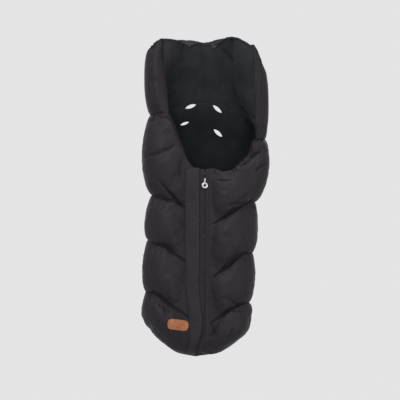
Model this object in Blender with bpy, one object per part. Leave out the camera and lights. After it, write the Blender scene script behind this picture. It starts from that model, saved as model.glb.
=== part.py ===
# Stroller footmuff, hanging upright from a bar behind its hood, front to -Y.
# The origin is the centre of the bar. Lengths are in metres.
import math

import bmesh
import bpy
from mathutils import Matrix, Vector
from mathutils.bvhtree import BVHTree

# Fits
clearance = 0.0003
cut_overrun = 0.01
lining_gap = 0.0005
seam_gap = 0.0008

# Hanging bar and its two webbing loops
bar_radius = 0.033
loop_slack = 0.0006
webbing_thickness = 0.0016
webbing_width = 0.025
loop_offset_x = 0.075
loop_tail_drop = 0.086
loop_tail_length = 0.030

# Cross-section: depths before and behind the parting plane, without the puffs
front_depth = 0.062
back_depth = 0.038
front_roundness = 2.6
back_roundness = 4.5
back_flat_depth = 0.054
shell_wall = 0.004
lining_wall = 0.008
seam_loft = 0.003
puff_power = 0.6
neck_puff_share = 0.35
margin_ease_share = 1.1

# Puff heights over the seams
front_puff = 0.026
back_puff = 0.020
side_swell = 0.030

# Heights of the quilting seams where they reach the left side
left_half_width = 0.198
left_hood_z = -0.180
left_seam_1_z = -0.433
left_seam_2_z = -0.575
left_seam_3_z = -0.738
left_corner_z = -0.812
left_width_shares = (0.84, 0.83, 0.89, 0.92, 0.985)
left_swell_shares = (1.0, 0.55, 0.50, 0.12)

# The same for the right side, which tapers more
right_half_width = 0.204
right_hood_z = -0.258
right_seam_1_z = -0.455
right_seam_2_z = -0.616
right_seam_3_z = -0.772
right_corner_z = -0.826
right_width_shares = (0.915, 0.772, 0.720, 0.659, 0.655)
right_swell_shares = (0.95, 0.48, 0.48, 0.25)

# Heights of the same seams at the zip
zip_top_z = -0.352
left_middle_z = (-0.497, -0.683, -0.842)
left_tip_z = -0.937
right_middle_z = (-0.530, -0.703, -0.843)
right_tip_z = -0.928
seam_curve = 1.15
left_foot_curve = 1.0
right_foot_curve = 2.3
back_drop_share = 0.25
foot_fullness = 4.0
sway_start_z = -0.846
foot_sway = -0.024

# Necklines: share of the way from side to zip, share of the drop to the zip top
left_neck_shares = ((0.0, 0.0), (0.34, 0.0), (0.49, 0.30), (0.74, 0.85), (0.87, 1.0), (1.0, 1.0))
right_neck_shares = ((0.0, 0.0), (0.16, 0.06), (0.24, 0.50), (0.58, 1.06), (0.75, 1.12), (0.9, 1.02), (1.0, 1.0))

# Hood: top edge and lower seam by the share of the half width, and lip widths
hood_rise = 0.052
hood_back_z = -0.125
left_rim_shares = ((0.0, 0.85), (0.35, 0.90), (0.70, 1.02), (0.90, 0.70), (1.0, 0.10))
right_rim_shares = ((0.0, 0.85), (0.25, 0.92), (0.50, 1.17), (0.80, 0.75), (1.0, -0.35))
hood_seam_shares = ((0.0, 0.0), (0.4, 0.12), (0.8, 0.50), (1.0, 1.0))
left_lip_shares = (0.80, 0.68)
right_lip_shares = (0.504, 0.857)
lip_turn_share = 0.5
hood_left_swell = 0.024
hood_right_swell = 0.012
hood_puff = 0.022
hood_edge_thin_share = 0.65
right_margin = 0.008

# Mesh fineness
rows_per_puff = 5
hood_rows = 6
front_columns = 9
margin_columns = 2
back_columns = 16
left_lip_columns = 3
right_lip_columns = 4
arc_steps = 6
tube_sides = 8

# Zip
tape_width = 0.016
tape_thickness = 0.001
tape_gap = 0.0006
parted_gap = 0.0026
tooth_pitch = 0.0060
tooth_depth = 0.0021
teeth_strip_width = 0.0021
teeth_reach = 0.0009
teeth_thickness = 0.0022

# Slider and puller
slider_top_z = -0.361
slider_length = 0.016
slider_top_width = 0.0140
slider_bottom_width = 0.0104
slider_plate = 0.0017
slider_post_width = 0.0026
slider_post_length = 0.0050
slider_channel_width = 0.0076
bridge_inner_radius = 0.0032
bridge_thickness = 0.0014
bridge_width = 0.0018
puller_thickness = 0.0018
puller_bar = 0.0016
puller_leg = 0.0016
puller_eye_width = 0.0034
puller_eye_length = 0.0080
puller_length = 0.0240
puller_neck = 0.0042
ring_radius = 0.0094
ring_hole_radius = 0.0042
stop_width = 0.0022
stop_height = 0.0032
stop_wall = 0.0012
bottom_stop_z = -0.8455

# Storm flap beside the zip
flap_width = 0.046
flap_foot_width = 0.022
flap_thickness = 0.0034
flap_top_z = -0.350
flap_taper_z = -0.770
flap_bottom_z = -0.890
flap_corner = 0.014

# Leather label
label_width = 0.066
label_height = 0.034
label_corner = 0.010
label_thickness = 0.0018
label_x = -0.088
label_z = -0.842
label_tilt = 10.0

# Harness slots in the back: x and z of each, and how far the left and right ones slant
slot_length = 0.036
slot_height = 0.012
slot_binding_width = 0.0042
slot_binding_thickness = 0.0016
upper_left_slot_place = (-0.045, -0.152)
upper_right_slot_place = (0.040, -0.160)
lower_left_slot_place = (-0.064, -0.206)
lower_right_slot_place = (0.042, -0.236)
left_slot_slant = 20.0
right_slot_slant = -42.0
crotch_slot_z = -0.560
crotch_slot_length = 0.050

# Lines the two front halves turn on, beside the side seams: the left one upright, the
# right one through two points, each half width a share of the right one
left_hinge_share = 1.0027
left_hinge_z = -0.500
right_hinge_shares = (1.0206, 0.6946)
right_hinge_z = (-0.325, -0.837)
joint_mark_size = 0.03

# Grip patch on the back
patch_width = 0.230
patch_top_z = -0.330
patch_bottom_z = -0.690
patch_thickness = 0.0024
patch_corner = 0.020

# Elastic casings at the hood's top edge and along the right neckline
casing_radius = 0.0060
casing_bore_radius = 0.0034
elastic_radius = 0.0024
neck_casing_seat = 0.0007
hood_casing_columns = (8, 13)
neck_casing_columns = (3, 7)

# Places that follow from the sizes above
back_plane_y = -(bar_radius + loop_slack + webbing_thickness + clearance)
parting_y = back_plane_y - back_flat_depth
lining_outer = shell_wall + lining_gap
lining_inner = lining_outer + lining_wall
zip_edge = tape_width + clearance
tape_front = front_depth + tape_thickness


# Clears the scene
for old in list(bpy.data.objects):
    bpy.data.objects.remove(old, do_unlink=True)


def material(name, colour, roughness, metallic=0.0):
    made = bpy.data.materials.new(name)
    made.use_nodes = True
    shader = made.node_tree.nodes["Principled BSDF"]
    shader.inputs["Base Color"].default_value = (*colour, 1.0)
    shader.inputs["Roughness"].default_value = roughness
    shader.inputs["Metallic"].default_value = metallic
    return made


nylon = ("nylon", (0.030, 0.027, 0.029), 0.55)
fleece = ("fleece", (0.011, 0.012, 0.013), 0.95)
tape_cloth = ("zip_tape", (0.020, 0.018, 0.019), 0.75)
nylon_coil = ("zip_coil", (0.012, 0.012, 0.012), 0.40)
black_metal = ("black_metal", (0.015, 0.015, 0.016), 0.35)
silver_metal = ("silver_metal", (0.72, 0.72, 0.72), 0.28)
tan_leather = ("tan_leather", (0.43, 0.16, 0.075), 0.60)
webbing = ("webbing", (0.018, 0.018, 0.018), 0.80)
grip = ("grip_fabric", (0.022, 0.022, 0.023), 0.85)
elastic = ("elastic", (0.014, 0.014, 0.014), 0.80)


def solid_object(name, bm, look, metallic=0.0):
    bmesh.ops.recalc_face_normals(bm, faces=bm.faces[:])
    if bm.calc_volume(signed=True) < 0.0:
        bmesh.ops.reverse_faces(bm, faces=bm.faces[:])
    mesh = bpy.data.meshes.new(name)
    bm.to_mesh(mesh)
    bm.free()
    mesh.materials.append(material(name + "_" + look[0], look[1], look[2], metallic))
    made = bpy.data.objects.new(name, mesh)
    bpy.context.collection.objects.link(made)
    return made


def cut(target, cutter, name):
    cutter.hide_render = True
    cutter.display_type = "WIRE"
    modifier = target.modifiers.new(name, "BOOLEAN")
    modifier.operation = "DIFFERENCE"
    modifier.solver = "EXACT"
    modifier.object = cutter
    cutter.parent = target


def from_table(table, place):
    for (a, low), (b, high) in zip(table, table[1:]):
        if place <= b:
            return low + (high - low) * (place - a) / (b - a)
    return table[-1][1]


def smooth(value):
    value = min(max(value, 0.0), 1.0)
    return value * value * (3.0 - 2.0 * value)


def puff(share):
    return math.sin(math.pi * min(max(share, 0.0), 1.0)) ** puff_power


# Half widths and seam heights of one side, -1 for the left and 1 for the right
def side_seams(side):
    if side < 0:
        return (left_hood_z, left_seam_1_z, left_seam_2_z, left_seam_3_z, left_corner_z)
    return (right_hood_z, right_seam_1_z, right_seam_2_z, right_seam_3_z, right_corner_z)


def middle_seams(side):
    if side < 0:
        return (zip_top_z, *left_middle_z, left_tip_z)
    return (zip_top_z, *right_middle_z, right_tip_z)


def seam_half_widths(side):
    if side < 0:
        return [left_half_width * share for share in left_width_shares]
    return [right_half_width * share for share in right_width_shares]


def side_puff(side, channel):
    shares = left_swell_shares if side < 0 else right_swell_shares
    return side_swell * shares[channel]


# Half width at a row: straight between the seams
def half_width(side, channel, share):
    widths = seam_half_widths(side)
    return widths[channel] + (widths[channel + 1] - widths[channel]) * share


# Share of the way from the side of the bag to the edge of the zip
def share_across(x, width):
    return min(max(1.0 - (abs(x) - zip_edge) / (width - zip_edge), 0.0), 1.0)


def front_neck_z(side, across):
    top = side_seams(side)[0] - clearance
    table = left_neck_shares if side < 0 else right_neck_shares
    return top + (zip_top_z - top) * from_table(table, across)


# Foot edge of the bag, shared by the front and the back
def foot_z(side, across):
    side_z = side_seams(side)[4]
    tip_z = middle_seams(side)[4]
    if side < 0:
        drop = across ** left_foot_curve
    else:
        drop = 1.0 - (1.0 - across) ** right_foot_curve
    return side_z + (tip_z - side_z) * drop


def front_seam_z(side, seam, across):
    if seam == 0:
        return front_neck_z(side, across)
    if seam == 4:
        return foot_z(side, across)
    side_z = side_seams(side)[seam]
    return side_z + (middle_seams(side)[seam] - side_z) * across ** seam_curve


def hood_seam_z(side, x, width):
    drop = from_table(hood_seam_shares, min(abs(x) / width, 1.0))
    return hood_back_z + (side_seams(side)[0] - hood_back_z) * drop


def back_seam_z(side, seam, x, width):
    across = share_across(x, width)
    if seam == 0:
        return hood_seam_z(side, x, width) - seam_gap
    if seam == 4:
        return foot_z(side, across)
    middle = 0.5 * (side_seams(-1)[seam] + side_seams(1)[seam])
    middle += back_drop_share * (middle_seams(side)[seam] - side_seams(side)[seam])
    side_z = side_seams(side)[seam]
    return side_z + (middle - side_z) * smooth(across)


# Point and outward direction on an oval half section, angle 0 at the side
def section(width, depth, roundness, angle):
    power = 2.0 / roundness
    x = width * max(math.cos(angle), 0.0) ** power
    y = depth * max(math.sin(angle), 0.0) ** power
    steep_x = (x / width) ** (roundness - 1.0) / width
    steep_y = (y / max(depth, clearance)) ** (roundness - 1.0) / max(depth, clearance)
    size = math.hypot(steep_x, steep_y)
    return x, y, steep_x / size, steep_y / size


def row_table(rows):
    table = []
    for channel, count in enumerate(rows):
        for step in range(count):
            table.append((channel, 0.5 - 0.5 * math.cos(math.pi * step / count)))
    table.append((len(rows) - 1, 1.0))
    return table


wall_rows = row_table([rows_per_puff] * 4)


def fullness(channel, share):
    if channel < 3:
        return 1.0
    return math.sqrt(max(1.0 - share ** foot_fullness, 0.0))


# The quilted height over the seams of the front: full in the middle of a puff,
# nothing along the zip and, on the left, nothing under the storm flap
def front_height(side, channel, share, x, across):
    inner = zip_edge + (flap_width if side < 0 else right_margin) + 3.0 * clearance
    taper = smooth((abs(x) - inner) / (margin_ease_share * front_puff))
    middle = front_puff * taper ** puff_power
    height = side_puff(side, channel) + (middle - side_puff(side, channel)) * smooth(3.0 * across)
    lift = puff(share)
    if channel == 0:
        lift = max(lift, neck_puff_share * smooth(4.0 * across) * (1.0 - share))
    return seam_loft + height * lift


# Angle on the front section at which it is a given distance from the middle
def front_angle(x, width):
    return math.acos((x / width) ** (front_roundness / 2.0))


# The foot end of the zip leans to the left
def swayed(x, z):
    return x + foot_sway * smooth((sway_start_z - z) / (sway_start_z - left_tip_z))


# Even columns over the puffs, and the last ones over the flat margin by the zip
def front_column_angle(side, width, place):
    margin_share = 1.0 - margin_columns / front_columns
    margin = zip_edge + (flap_width if side < 0 else right_margin) + 2.0 * clearance
    first = front_angle(margin, width)
    if place <= margin_share:
        return first * place / margin_share
    rest = (place - margin_share) / (1.0 - margin_share)
    return first + (front_angle(zip_edge, width) - first) * rest


def front_point(side, row, place, inset, quilted):
    channel, share = row
    full = fullness(channel, share)
    width = half_width(side, channel, share) - inset
    depth = (front_depth - inset) * full
    angle = front_column_angle(side, width, place)
    x, y, out_x, out_y = section(width, depth, front_roundness, angle)
    across = share_across(x, width)
    upper = front_seam_z(side, channel, across)
    lower = front_seam_z(side, channel + 1, across)
    if channel == 3:
        lower += inset
    z = upper + (lower - upper) * share
    if quilted:
        height = front_height(side, channel, share, x, across)
        if place < 1.0:
            x += height * out_x * full
        y += height * out_y * full
        z -= height * (1.0 - full)
    if place == 1.0:
        x = zip_edge
    return Vector((swayed(side * x, z), parting_y - 0.5 * clearance - y, z))


def back_height(side, channel, share, x, across):
    height = side_puff(side, channel) + (back_puff - side_puff(side, channel)) * smooth(3.0 * across)
    return seam_loft + height * puff(share)


def back_side(place):
    angle = math.pi * place
    if angle <= 0.5 * math.pi:
        return -1, angle
    return 1, math.pi - angle


def back_point(row, place, inset, quilted):
    channel, share = row
    side, angle = back_side(place)
    full = fullness(channel, share)
    width = half_width(side, channel, share) - inset
    depth = (back_depth - inset) * full
    x, y, out_x, out_y = section(width, depth, back_roundness, angle)
    across = share_across(x, width)
    upper = back_seam_z(side, channel, x, width)
    lower = back_seam_z(side, channel + 1, x, width)
    if channel == 3:
        lower += inset
    z = upper + (lower - upper) * share
    if quilted:
        height = back_height(side, channel, share, x, across)
        x += height * out_x * full
        y += height * out_y * full
        z -= height * (1.0 - full)
    y = min(y, back_flat_depth - clearance)
    return Vector((swayed(side * x, z), parting_y + 0.5 * clearance + y, z))


# A quilted wall: a grid carried to its outer skin, and its copy to the inner skin
# Quads left of the split share are halved one way and the rest the other way, so that
# the diagonal runs into each foot corner and the two skins match.
def wall(name, columns, rows, split_share, outer, inner, look):
    bm = bmesh.new()
    bmesh.ops.create_grid(bm, x_segments=columns, y_segments=len(rows) - 1, size=0.5)
    left = [face for face in bm.faces if face.calc_center_median().x < split_share - 0.5]
    right = [face for face in bm.faces if face not in left]
    bmesh.ops.triangulate(bm, faces=left, quad_method="ALTERNATE")
    bmesh.ops.triangulate(bm, faces=right, quad_method="FIXED")
    outside = bm.verts[:]
    made = bmesh.ops.extrude_face_region(bm, geom=bm.faces[:], use_keep_orig=True)
    inside = [item for item in made["geom"] if isinstance(item, bmesh.types.BMVert)]
    for verts, place_on in ((outside, outer), (inside, inner)):
        for vert in verts:
            column = round((vert.co.x + 0.5) * columns)
            row = round((vert.co.y + 0.5) * (len(rows) - 1))
            vert.co = place_on(rows[row], column / columns)
    return solid_object(name, bm, look)


def front_panels(side, word):
    shell = wall(
        "front_" + word + "_shell",
        front_columns,
        wall_rows,
        1.0,
        lambda row, place: front_point(side, row, place, 0.0, True),
        lambda row, place: front_point(side, row, place, shell_wall, False),
        nylon,
    )
    lining = wall(
        "front_" + word + "_lining",
        front_columns,
        wall_rows,
        1.0,
        lambda row, place: front_point(side, row, place, lining_outer, False),
        lambda row, place: front_point(side, row, place, lining_inner, False),
        fleece,
    )
    return shell, lining


def back_panels():
    shell = wall(
        "back_shell",
        back_columns,
        wall_rows,
        0.5,
        lambda row, place: back_point(row, place, 0.0, True),
        lambda row, place: back_point(row, place, shell_wall, False),
        nylon,
    )
    lining = wall(
        "back_lining",
        back_columns,
        wall_rows,
        0.5,
        lambda row, place: back_point(row, place, lining_outer, False),
        lambda row, place: back_point(row, place, lining_inner, False),
        fleece,
    )
    return shell, lining


left_shell, left_lining = front_panels(-1, "left")
right_shell, right_lining = front_panels(1, "right")
back_shell, back_lining = back_panels()


# Hood: a wall from the left lip round the left side, the back and the right side
hood_columns = left_lip_columns + back_columns + right_lip_columns
hood_table = row_table([hood_rows])


def rim_z(side, ratio):
    table = left_rim_shares if side < 0 else right_rim_shares
    return hood_rise * from_table(table, min(ratio, 1.0))


# Place of a lip's edge across the hood: straight on the left, turning outward on the right
def lip_x(side, share):
    width = seam_half_widths(side)[0]
    top, low = left_lip_shares if side < 0 else right_lip_shares
    turn = share if side < 0 else smooth((share - lip_turn_share) / (1.0 - lip_turn_share))
    return width * (top + (low - top) * turn)


# Puff of the hood's one channel: full at its middle and kept up to a thinner top edge
def hood_lift(share):
    if share > 0.5:
        return puff(share)
    return 1.0 - hood_edge_thin_share * (1.0 - 2.0 * share) ** 3


def hood_point(row, place, inset, quilted):
    share = row[1]
    column = round(place * hood_columns)
    back_column = column - left_lip_columns
    side = -1 if back_column <= back_columns / 2 else 1
    width = seam_half_widths(side)[0] - inset
    on_lip = back_column < 0 or back_column > back_columns
    if on_lip:
        past = back_column - back_columns if side > 0 else back_column
        count = right_lip_columns if side > 0 else left_lip_columns
        along = abs(past) / count
        angle = along * front_angle(lip_x(side, share), width)
        x, y, out_x, out_y = section(width, front_depth - inset, front_roundness, angle)
        low = side_seams(side)[0]
        fade = (1.0 - along ** 4) ** 0.5
    else:
        angle = back_side(back_column / back_columns)[1]
        x, y, out_x, out_y = section(width, back_depth - inset, back_roundness, angle)
        low = hood_seam_z(side, x, width)
        fade = 1.0
    if quilted:
        swell = hood_left_swell if side < 0 else hood_right_swell
        height = swell + (hood_puff - swell) * smooth(3.0 * (1.0 - x / width))
        height = seam_loft + height * hood_lift(share) * fade
    else:
        height = 0.0
    top = rim_z(side, x / width)
    z = top + (low - top) * share
    x += height * out_x
    y = min(y + height * out_y, front_depth + front_puff if on_lip else back_flat_depth - clearance)
    if on_lip:
        return Vector((side * x, parting_y - y, z))
    return Vector((side * x, parting_y + y, z))


def hood_walls():
    shell = wall(
        "hood_shell",
        hood_columns,
        hood_table,
        0.5,
        lambda row, place: hood_point(row, place, 0.0, True),
        lambda row, place: hood_point(row, place, shell_wall, False),
        nylon,
    )
    lining = wall(
        "hood_lining",
        hood_columns,
        hood_table,
        0.5,
        lambda row, place: hood_point(row, place, lining_outer, False),
        lambda row, place: hood_point(row, place, lining_inner, False),
        fleece,
    )
    return shell, lining


hood_shell, hood_lining = hood_walls()


# A flat piece: an outline in X and Z, extruded from its front face to its back face
def plate(name, outline, front_y, back_y, look, metallic=0.0):
    bm = bmesh.new()
    face = bm.faces.new([bm.verts.new((x, front_y, z)) for x, z in outline])
    made = bmesh.ops.extrude_face_region(bm, geom=[face], use_keep_orig=True)
    moved = [item for item in made["geom"] if isinstance(item, bmesh.types.BMVert)]
    bmesh.ops.translate(bm, verts=moved, vec=(0.0, back_y - front_y, 0.0))
    return solid_object(name, bm, look, metallic)


# A flat piece whose outline is in Y and Z, extruded along X
def side_plate(name, outline, left_x, right_x, look, metallic=0.0):
    bm = bmesh.new()
    face = bm.faces.new([bm.verts.new((left_x, y, z)) for y, z in outline])
    made = bmesh.ops.extrude_face_region(bm, geom=[face], use_keep_orig=True)
    moved = [item for item in made["geom"] if isinstance(item, bmesh.types.BMVert)]
    bmesh.ops.translate(bm, verts=moved, vec=(right_x - left_x, 0.0, 0.0))
    return solid_object(name, bm, look, metallic)


def arc(centre_x, centre_z, radius, start, end, steps):
    points = []
    for step in range(steps + 1):
        angle = math.radians(start + (end - start) * step / steps)
        points.append((centre_x + radius * math.cos(angle), centre_z + radius * math.sin(angle)))
    return points


def turned(points, degrees, x, z):
    spin = Matrix.Rotation(math.radians(degrees), 2)
    placed = [spin @ Vector(point) for point in points]
    return [(point.x + x, point.y + z) for point in placed]


def stadium(length, height, grow):
    radius = 0.5 * height + grow
    reach = 0.5 * (length - height)
    return arc(reach, 0.0, radius, -90, 90, arc_steps) + arc(-reach, 0.0, radius, 90, 270, arc_steps)


def rounded_box(width, height, corner):
    across = 0.5 * width - corner
    up = 0.5 * height - corner
    points = []
    for x, z, start in ((across, up, 0), (-across, up, 90), (-across, -up, 180), (across, -up, 270)):
        points += arc(x, z, corner, start, start + 90, arc_steps // 2)
    return points


def surface_tree(made):
    mesh = made.data
    return BVHTree.FromPolygons([v.co for v in mesh.vertices], [p.vertices for p in mesh.polygons])


# First surface met from a point along Y
def surface_y(tree, x, z, from_y, toward):
    return tree.ray_cast(Vector((x, from_y, z)), Vector((0.0, toward, 0.0)))[0].y


def grip_patch():
    height = patch_top_z - patch_bottom_z
    middle = 0.5 * (patch_top_z + patch_bottom_z)
    outline = turned(rounded_box(patch_width, height, patch_corner), 0, 0.0, middle)
    seat = back_plane_y + 0.5 * clearance
    return plate("grip_patch", outline, seat, seat + patch_thickness, grip)


patch = grip_patch()


# Harness slots through the back, each with a bound edge on the fleece
back_lining_tree = surface_tree(back_lining)


def slot(name, place, length, slant, layers):
    x, z = place
    outline = turned(stadium(length, slot_height, 0.0), slant, x, z)
    rim = turned(stadium(length, slot_height, slot_binding_width), slant, x, z)
    seats = [surface_y(back_lining_tree, px, pz, parting_y, 1.0) for px, pz in rim + outline]
    seat = min(seats) - clearance
    cutter = plate(name + "_cutter", outline, parting_y, back_plane_y + cut_overrun, webbing)
    binding = plate(name + "_slot_binding", rim, seat - slot_binding_thickness, seat, webbing)
    for layer in (*layers, binding):
        cut(layer, cutter, name + "_slot")


def harness_slots():
    layers = (back_shell, back_lining)
    slot("upper_left", upper_left_slot_place, slot_length, left_slot_slant, layers)
    slot("upper_right", upper_right_slot_place, slot_length, right_slot_slant, layers)
    slot("lower_left", lower_left_slot_place, slot_length, left_slot_slant, layers)
    slot("lower_right", lower_right_slot_place, slot_length, right_slot_slant, layers)
    slot("crotch", (0.0, crotch_slot_z), crotch_slot_length, 0.0, (*layers, patch))


harness_slots()


# A webbing loop round the bar: sewn down below it, up the front of the bar and over it
def hanging_loop(name, x):
    inner = bar_radius + loop_slack
    outer = inner + webbing_thickness
    foot = math.degrees(math.atan(loop_tail_drop / inner))
    last = 180.0 + 2.0 * foot
    turn = math.radians(last)
    tail_y = -inner + webbing_thickness * math.cos(turn)
    tail_z = -loop_tail_drop + webbing_thickness * math.sin(turn)
    end_z = -loop_tail_drop - loop_tail_length
    outside = arc(0.0, 0.0, outer, 180, last - 360, 4 * arc_steps)
    outside += [(tail_y, tail_z), (tail_y, end_z), (-outer, end_z)]
    inside = arc(0.0, 0.0, inner, 180, last - 360, 4 * arc_steps) + [(-inner, -loop_tail_drop)]
    band = side_plate(name, outside, x - 0.5 * webbing_width, x + 0.5 * webbing_width, webbing)
    reach = 0.5 * webbing_width + cut_overrun
    hole = side_plate(name + "_cutter", inside, x - reach, x + reach, webbing)
    cut(band, hole, "bar_space")
    return band


hanging_loop("hanging_loop_left", -loop_offset_x)
hanging_loop("hanging_loop_right", loop_offset_x)


# Zip: the tapes follow the foot, the teeth stop at the bottom stop
post_foot_z = slider_top_z - slider_post_length
parted_z = post_foot_z - 0.2 * slider_post_length
teeth_y = parting_y - front_depth + clearance


# Rows of a tape: down to where the coil closes, then along the foot beside its front half
def tape_rows(side):
    rows = [(zip_top_z, 1.0), (parted_z + tape_gap, 1.0), (parted_z, 1.0)]
    for channel, share in wall_rows:
        if channel == 3 and share < 1.0:
            edge = front_point(side, (channel, share), 1.0, 0.0, True)
            rows.append((edge.z, fullness(channel, share)))
    return rows


def tape_point(side, row, place, y_lift):
    z, full = row
    inner = parted_gap if z > parted_z else tape_gap
    x = tape_width + (inner - tape_width) * place
    return Vector((swayed(side * x, z), parting_y - front_depth * full - y_lift, z))


# A comb of teeth along a strip: the right one stands half a pitch lower and fits between
# the teeth of the left one
def teeth_outline(side):
    root = teeth_reach + clearance
    far = root + teeth_strip_width
    half = 0.5 * tooth_pitch
    first = parted_z - clearance - (half if side > 0 else 0.0)
    count = int((parted_z - bottom_stop_z) / tooth_pitch)
    points = [(far, parted_z), (root, parted_z)]
    for tooth in range(count):
        top = first - tooth * tooth_pitch
        low = top - half + clearance
        points += [(root, top), (-teeth_reach, top), (-teeth_reach, low), (root, low)]
    end = parted_z - count * tooth_pitch - clearance
    points += [(root, end), (far, end)]
    return [(side * x, z) for x, z in points]


def zip_side(side, word):
    tape = wall(
        "zip_tape_" + word,
        1,
        tape_rows(side),
        0.0,
        lambda row, place: tape_point(side, row, place, tape_thickness),
        lambda row, place: tape_point(side, row, place, 0.0),
        tape_cloth,
    )
    outline = teeth_outline(side)
    teeth = plate("zip_teeth_" + word, outline, teeth_y, teeth_y + teeth_thickness, nylon_coil)
    return [tape, teeth, top_stop(side, word)]


# A folded metal stop round the inner edge of a tape
def top_stop(side, word):
    low = slider_top_z + clearance + 0.3 * stop_height
    inner = parted_gap - clearance - stop_wall
    outer = inner + stop_wall + stop_width
    front = parting_y - tape_front - clearance
    back = parting_y - front_depth + clearance
    outline = [(side * inner, low), (side * outer, low), (side * outer, low + stop_height)]
    outline.append((side * inner, low + stop_height))
    stop = plate("zip_top_stop_" + word, outline, front - stop_wall, back + stop_wall, black_metal, 1.0)
    over_low, over_high = low - cut_overrun, low + stop_height + cut_overrun
    near, far = side * (inner + stop_wall), side * (outer + cut_overrun)
    space = [(near, over_low), (far, over_low), (far, over_high), (near, over_high)]
    cut(stop, plate("top_stop_cutter_" + word, space, front, back, black_metal), "tape_space")
    return stop


left_zip = zip_side(-1, "left")
right_zip = zip_side(1, "right")


def bottom_stop():
    reach = teeth_reach + clearance + teeth_strip_width
    front = parting_y - tape_front - clearance
    outline = turned(rounded_box(2.0 * reach, stop_height, 0.25 * stop_height), 0, 0.0, bottom_stop_z)
    plate("zip_bottom_stop", outline, front - stop_wall, front, black_metal, 1.0)


bottom_stop()


# Slider: a block cut by the tapes' slot and by the channel that parts round the post
plate_back_y = teeth_y + teeth_thickness + clearance
plate_front_y = parting_y - tape_front - clearance
slider_front_y = plate_front_y - slider_plate
slider_bottom_z = slider_top_z - slider_length


def slider_body():
    top, low = 0.5 * slider_top_width, 0.5 * slider_bottom_width
    waist_z = slider_top_z - 0.45 * slider_length
    nose = 0.12 * slider_length
    outline = [
        (-0.8 * top, slider_top_z),
        (0.8 * top, slider_top_z),
        (top, slider_top_z - nose),
        (low, waist_z),
        (low, slider_bottom_z + 0.4 * nose),
        (0.85 * low, slider_bottom_z),
        (-0.85 * low, slider_bottom_z),
        (-low, slider_bottom_z + 0.4 * nose),
        (-low, waist_z),
        (-top, slider_top_z - nose),
    ]
    body = plate("zip_slider", outline, slider_front_y, plate_back_y + slider_plate, black_metal, 1.0)
    post = 0.5 * slider_post_width
    half = 0.5 * slider_channel_width
    over_top, over_low = slider_top_z + cut_overrun, slider_bottom_z - cut_overrun
    shoulder_z = post_foot_z + 0.5 * slider_post_length
    notch = [(post, over_top), (post, shoulder_z), (0.0, post_foot_z), (-post, shoulder_z), (-post, over_top)]
    throat = half + 0.5 * slider_post_width
    channel = [(-half, over_low), (half, over_low), (half, post_foot_z), (throat, over_top)]
    channel += notch + [(-throat, over_top), (-half, post_foot_z)]
    cut(body, plate("coil_cutter", channel, plate_front_y, plate_back_y, black_metal), "coil_channel")
    wide = top + cut_overrun
    slit = [(-wide, over_low), (wide, over_low), (wide, over_top)] + notch + [(-wide, over_top)]
    slit_back = parting_y - front_depth + clearance
    cut(body, plate("tape_cutter", slit, plate_front_y, slit_back, black_metal), "tape_slit")
    return body


def slider_bridge():
    middle = slider_top_z - 0.5 * slider_length
    inner = bridge_inner_radius
    outer = inner + bridge_thickness
    seat = slider_front_y - clearance
    angles = [math.pi * step / (2 * arc_steps) for step in range(2 * arc_steps + 1)]
    outline = [(seat - outer * math.sin(a), middle + outer * math.cos(a)) for a in angles]
    outline += [(seat - inner * math.sin(a), middle + inner * math.cos(a)) for a in reversed(angles)]
    return side_plate("slider_bridge", outline, -0.5 * bridge_width, 0.5 * bridge_width, black_metal, 1.0)


pull_axis_y = slider_front_y - clearance - 0.5 * bridge_inner_radius
pull_axis_z = slider_top_z - 0.5 * slider_length - 0.25 * bridge_inner_radius


def ring_puller():
    half_bar = 0.5 * puller_bar
    eye = 0.5 * puller_eye_width + puller_leg
    neck = 0.5 * puller_neck
    eye_foot = -half_bar - puller_eye_length
    ring_z = -puller_length - ring_radius * math.cos(math.asin(neck / ring_radius))
    spread = math.degrees(math.asin(neck / ring_radius))
    side_points = [(-eye, half_bar), (-eye, eye_foot), (-neck, eye_foot - puller_neck)]
    outline = side_points + arc(0.0, ring_z, ring_radius, 90 + spread, 450 - spread, 4 * arc_steps)
    outline += [(-x, z) for x, z in reversed(side_points)]
    front = pull_axis_y - 0.5 * puller_thickness
    back = pull_axis_y + 0.5 * puller_thickness
    puller = plate("ring_puller", turned(outline, 0, 0.0, pull_axis_z), front, back, silver_metal, 1.0)
    hole = arc(0.0, ring_z, ring_hole_radius, 0, 360 - 360 / (3 * arc_steps), 3 * arc_steps - 1)
    hole_y = (front - cut_overrun, back + cut_overrun)
    cut(puller, plate("ring_cutter", turned(hole, 0, 0.0, pull_axis_z), *hole_y, silver_metal), "ring_hole")
    half_eye = 0.5 * puller_eye_width
    space = [(-half_eye, -half_bar), (half_eye, -half_bar), (half_eye, eye_foot), (-half_eye, eye_foot)]
    cut(puller, plate("eye_cutter", turned(space, 0, 0.0, pull_axis_z), *hole_y, silver_metal), "eye_hole")
    return puller


slider = slider_body()
bridge = slider_bridge()
puller = ring_puller()


# Storm flap, sewn beside the zip and laid open to the left
def storm_flap():
    root = zip_edge + clearance
    tip = root + flap_width - clearance
    foot = root + flap_foot_width
    back = parting_y - front_depth - seam_loft - clearance
    outline = [(-root, flap_top_z), (-root, sway_start_z), (swayed(-root, flap_bottom_z), flap_bottom_z)]
    outline += [(swayed(-foot, flap_bottom_z), flap_bottom_z), (-tip, flap_taper_z)]
    outline += list(reversed(arc(-tip + flap_corner, flap_top_z - flap_corner, flap_corner, 90, 180, arc_steps)))
    return plate("storm_flap", outline, back - flap_thickness, back, nylon)


flap = storm_flap()


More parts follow.
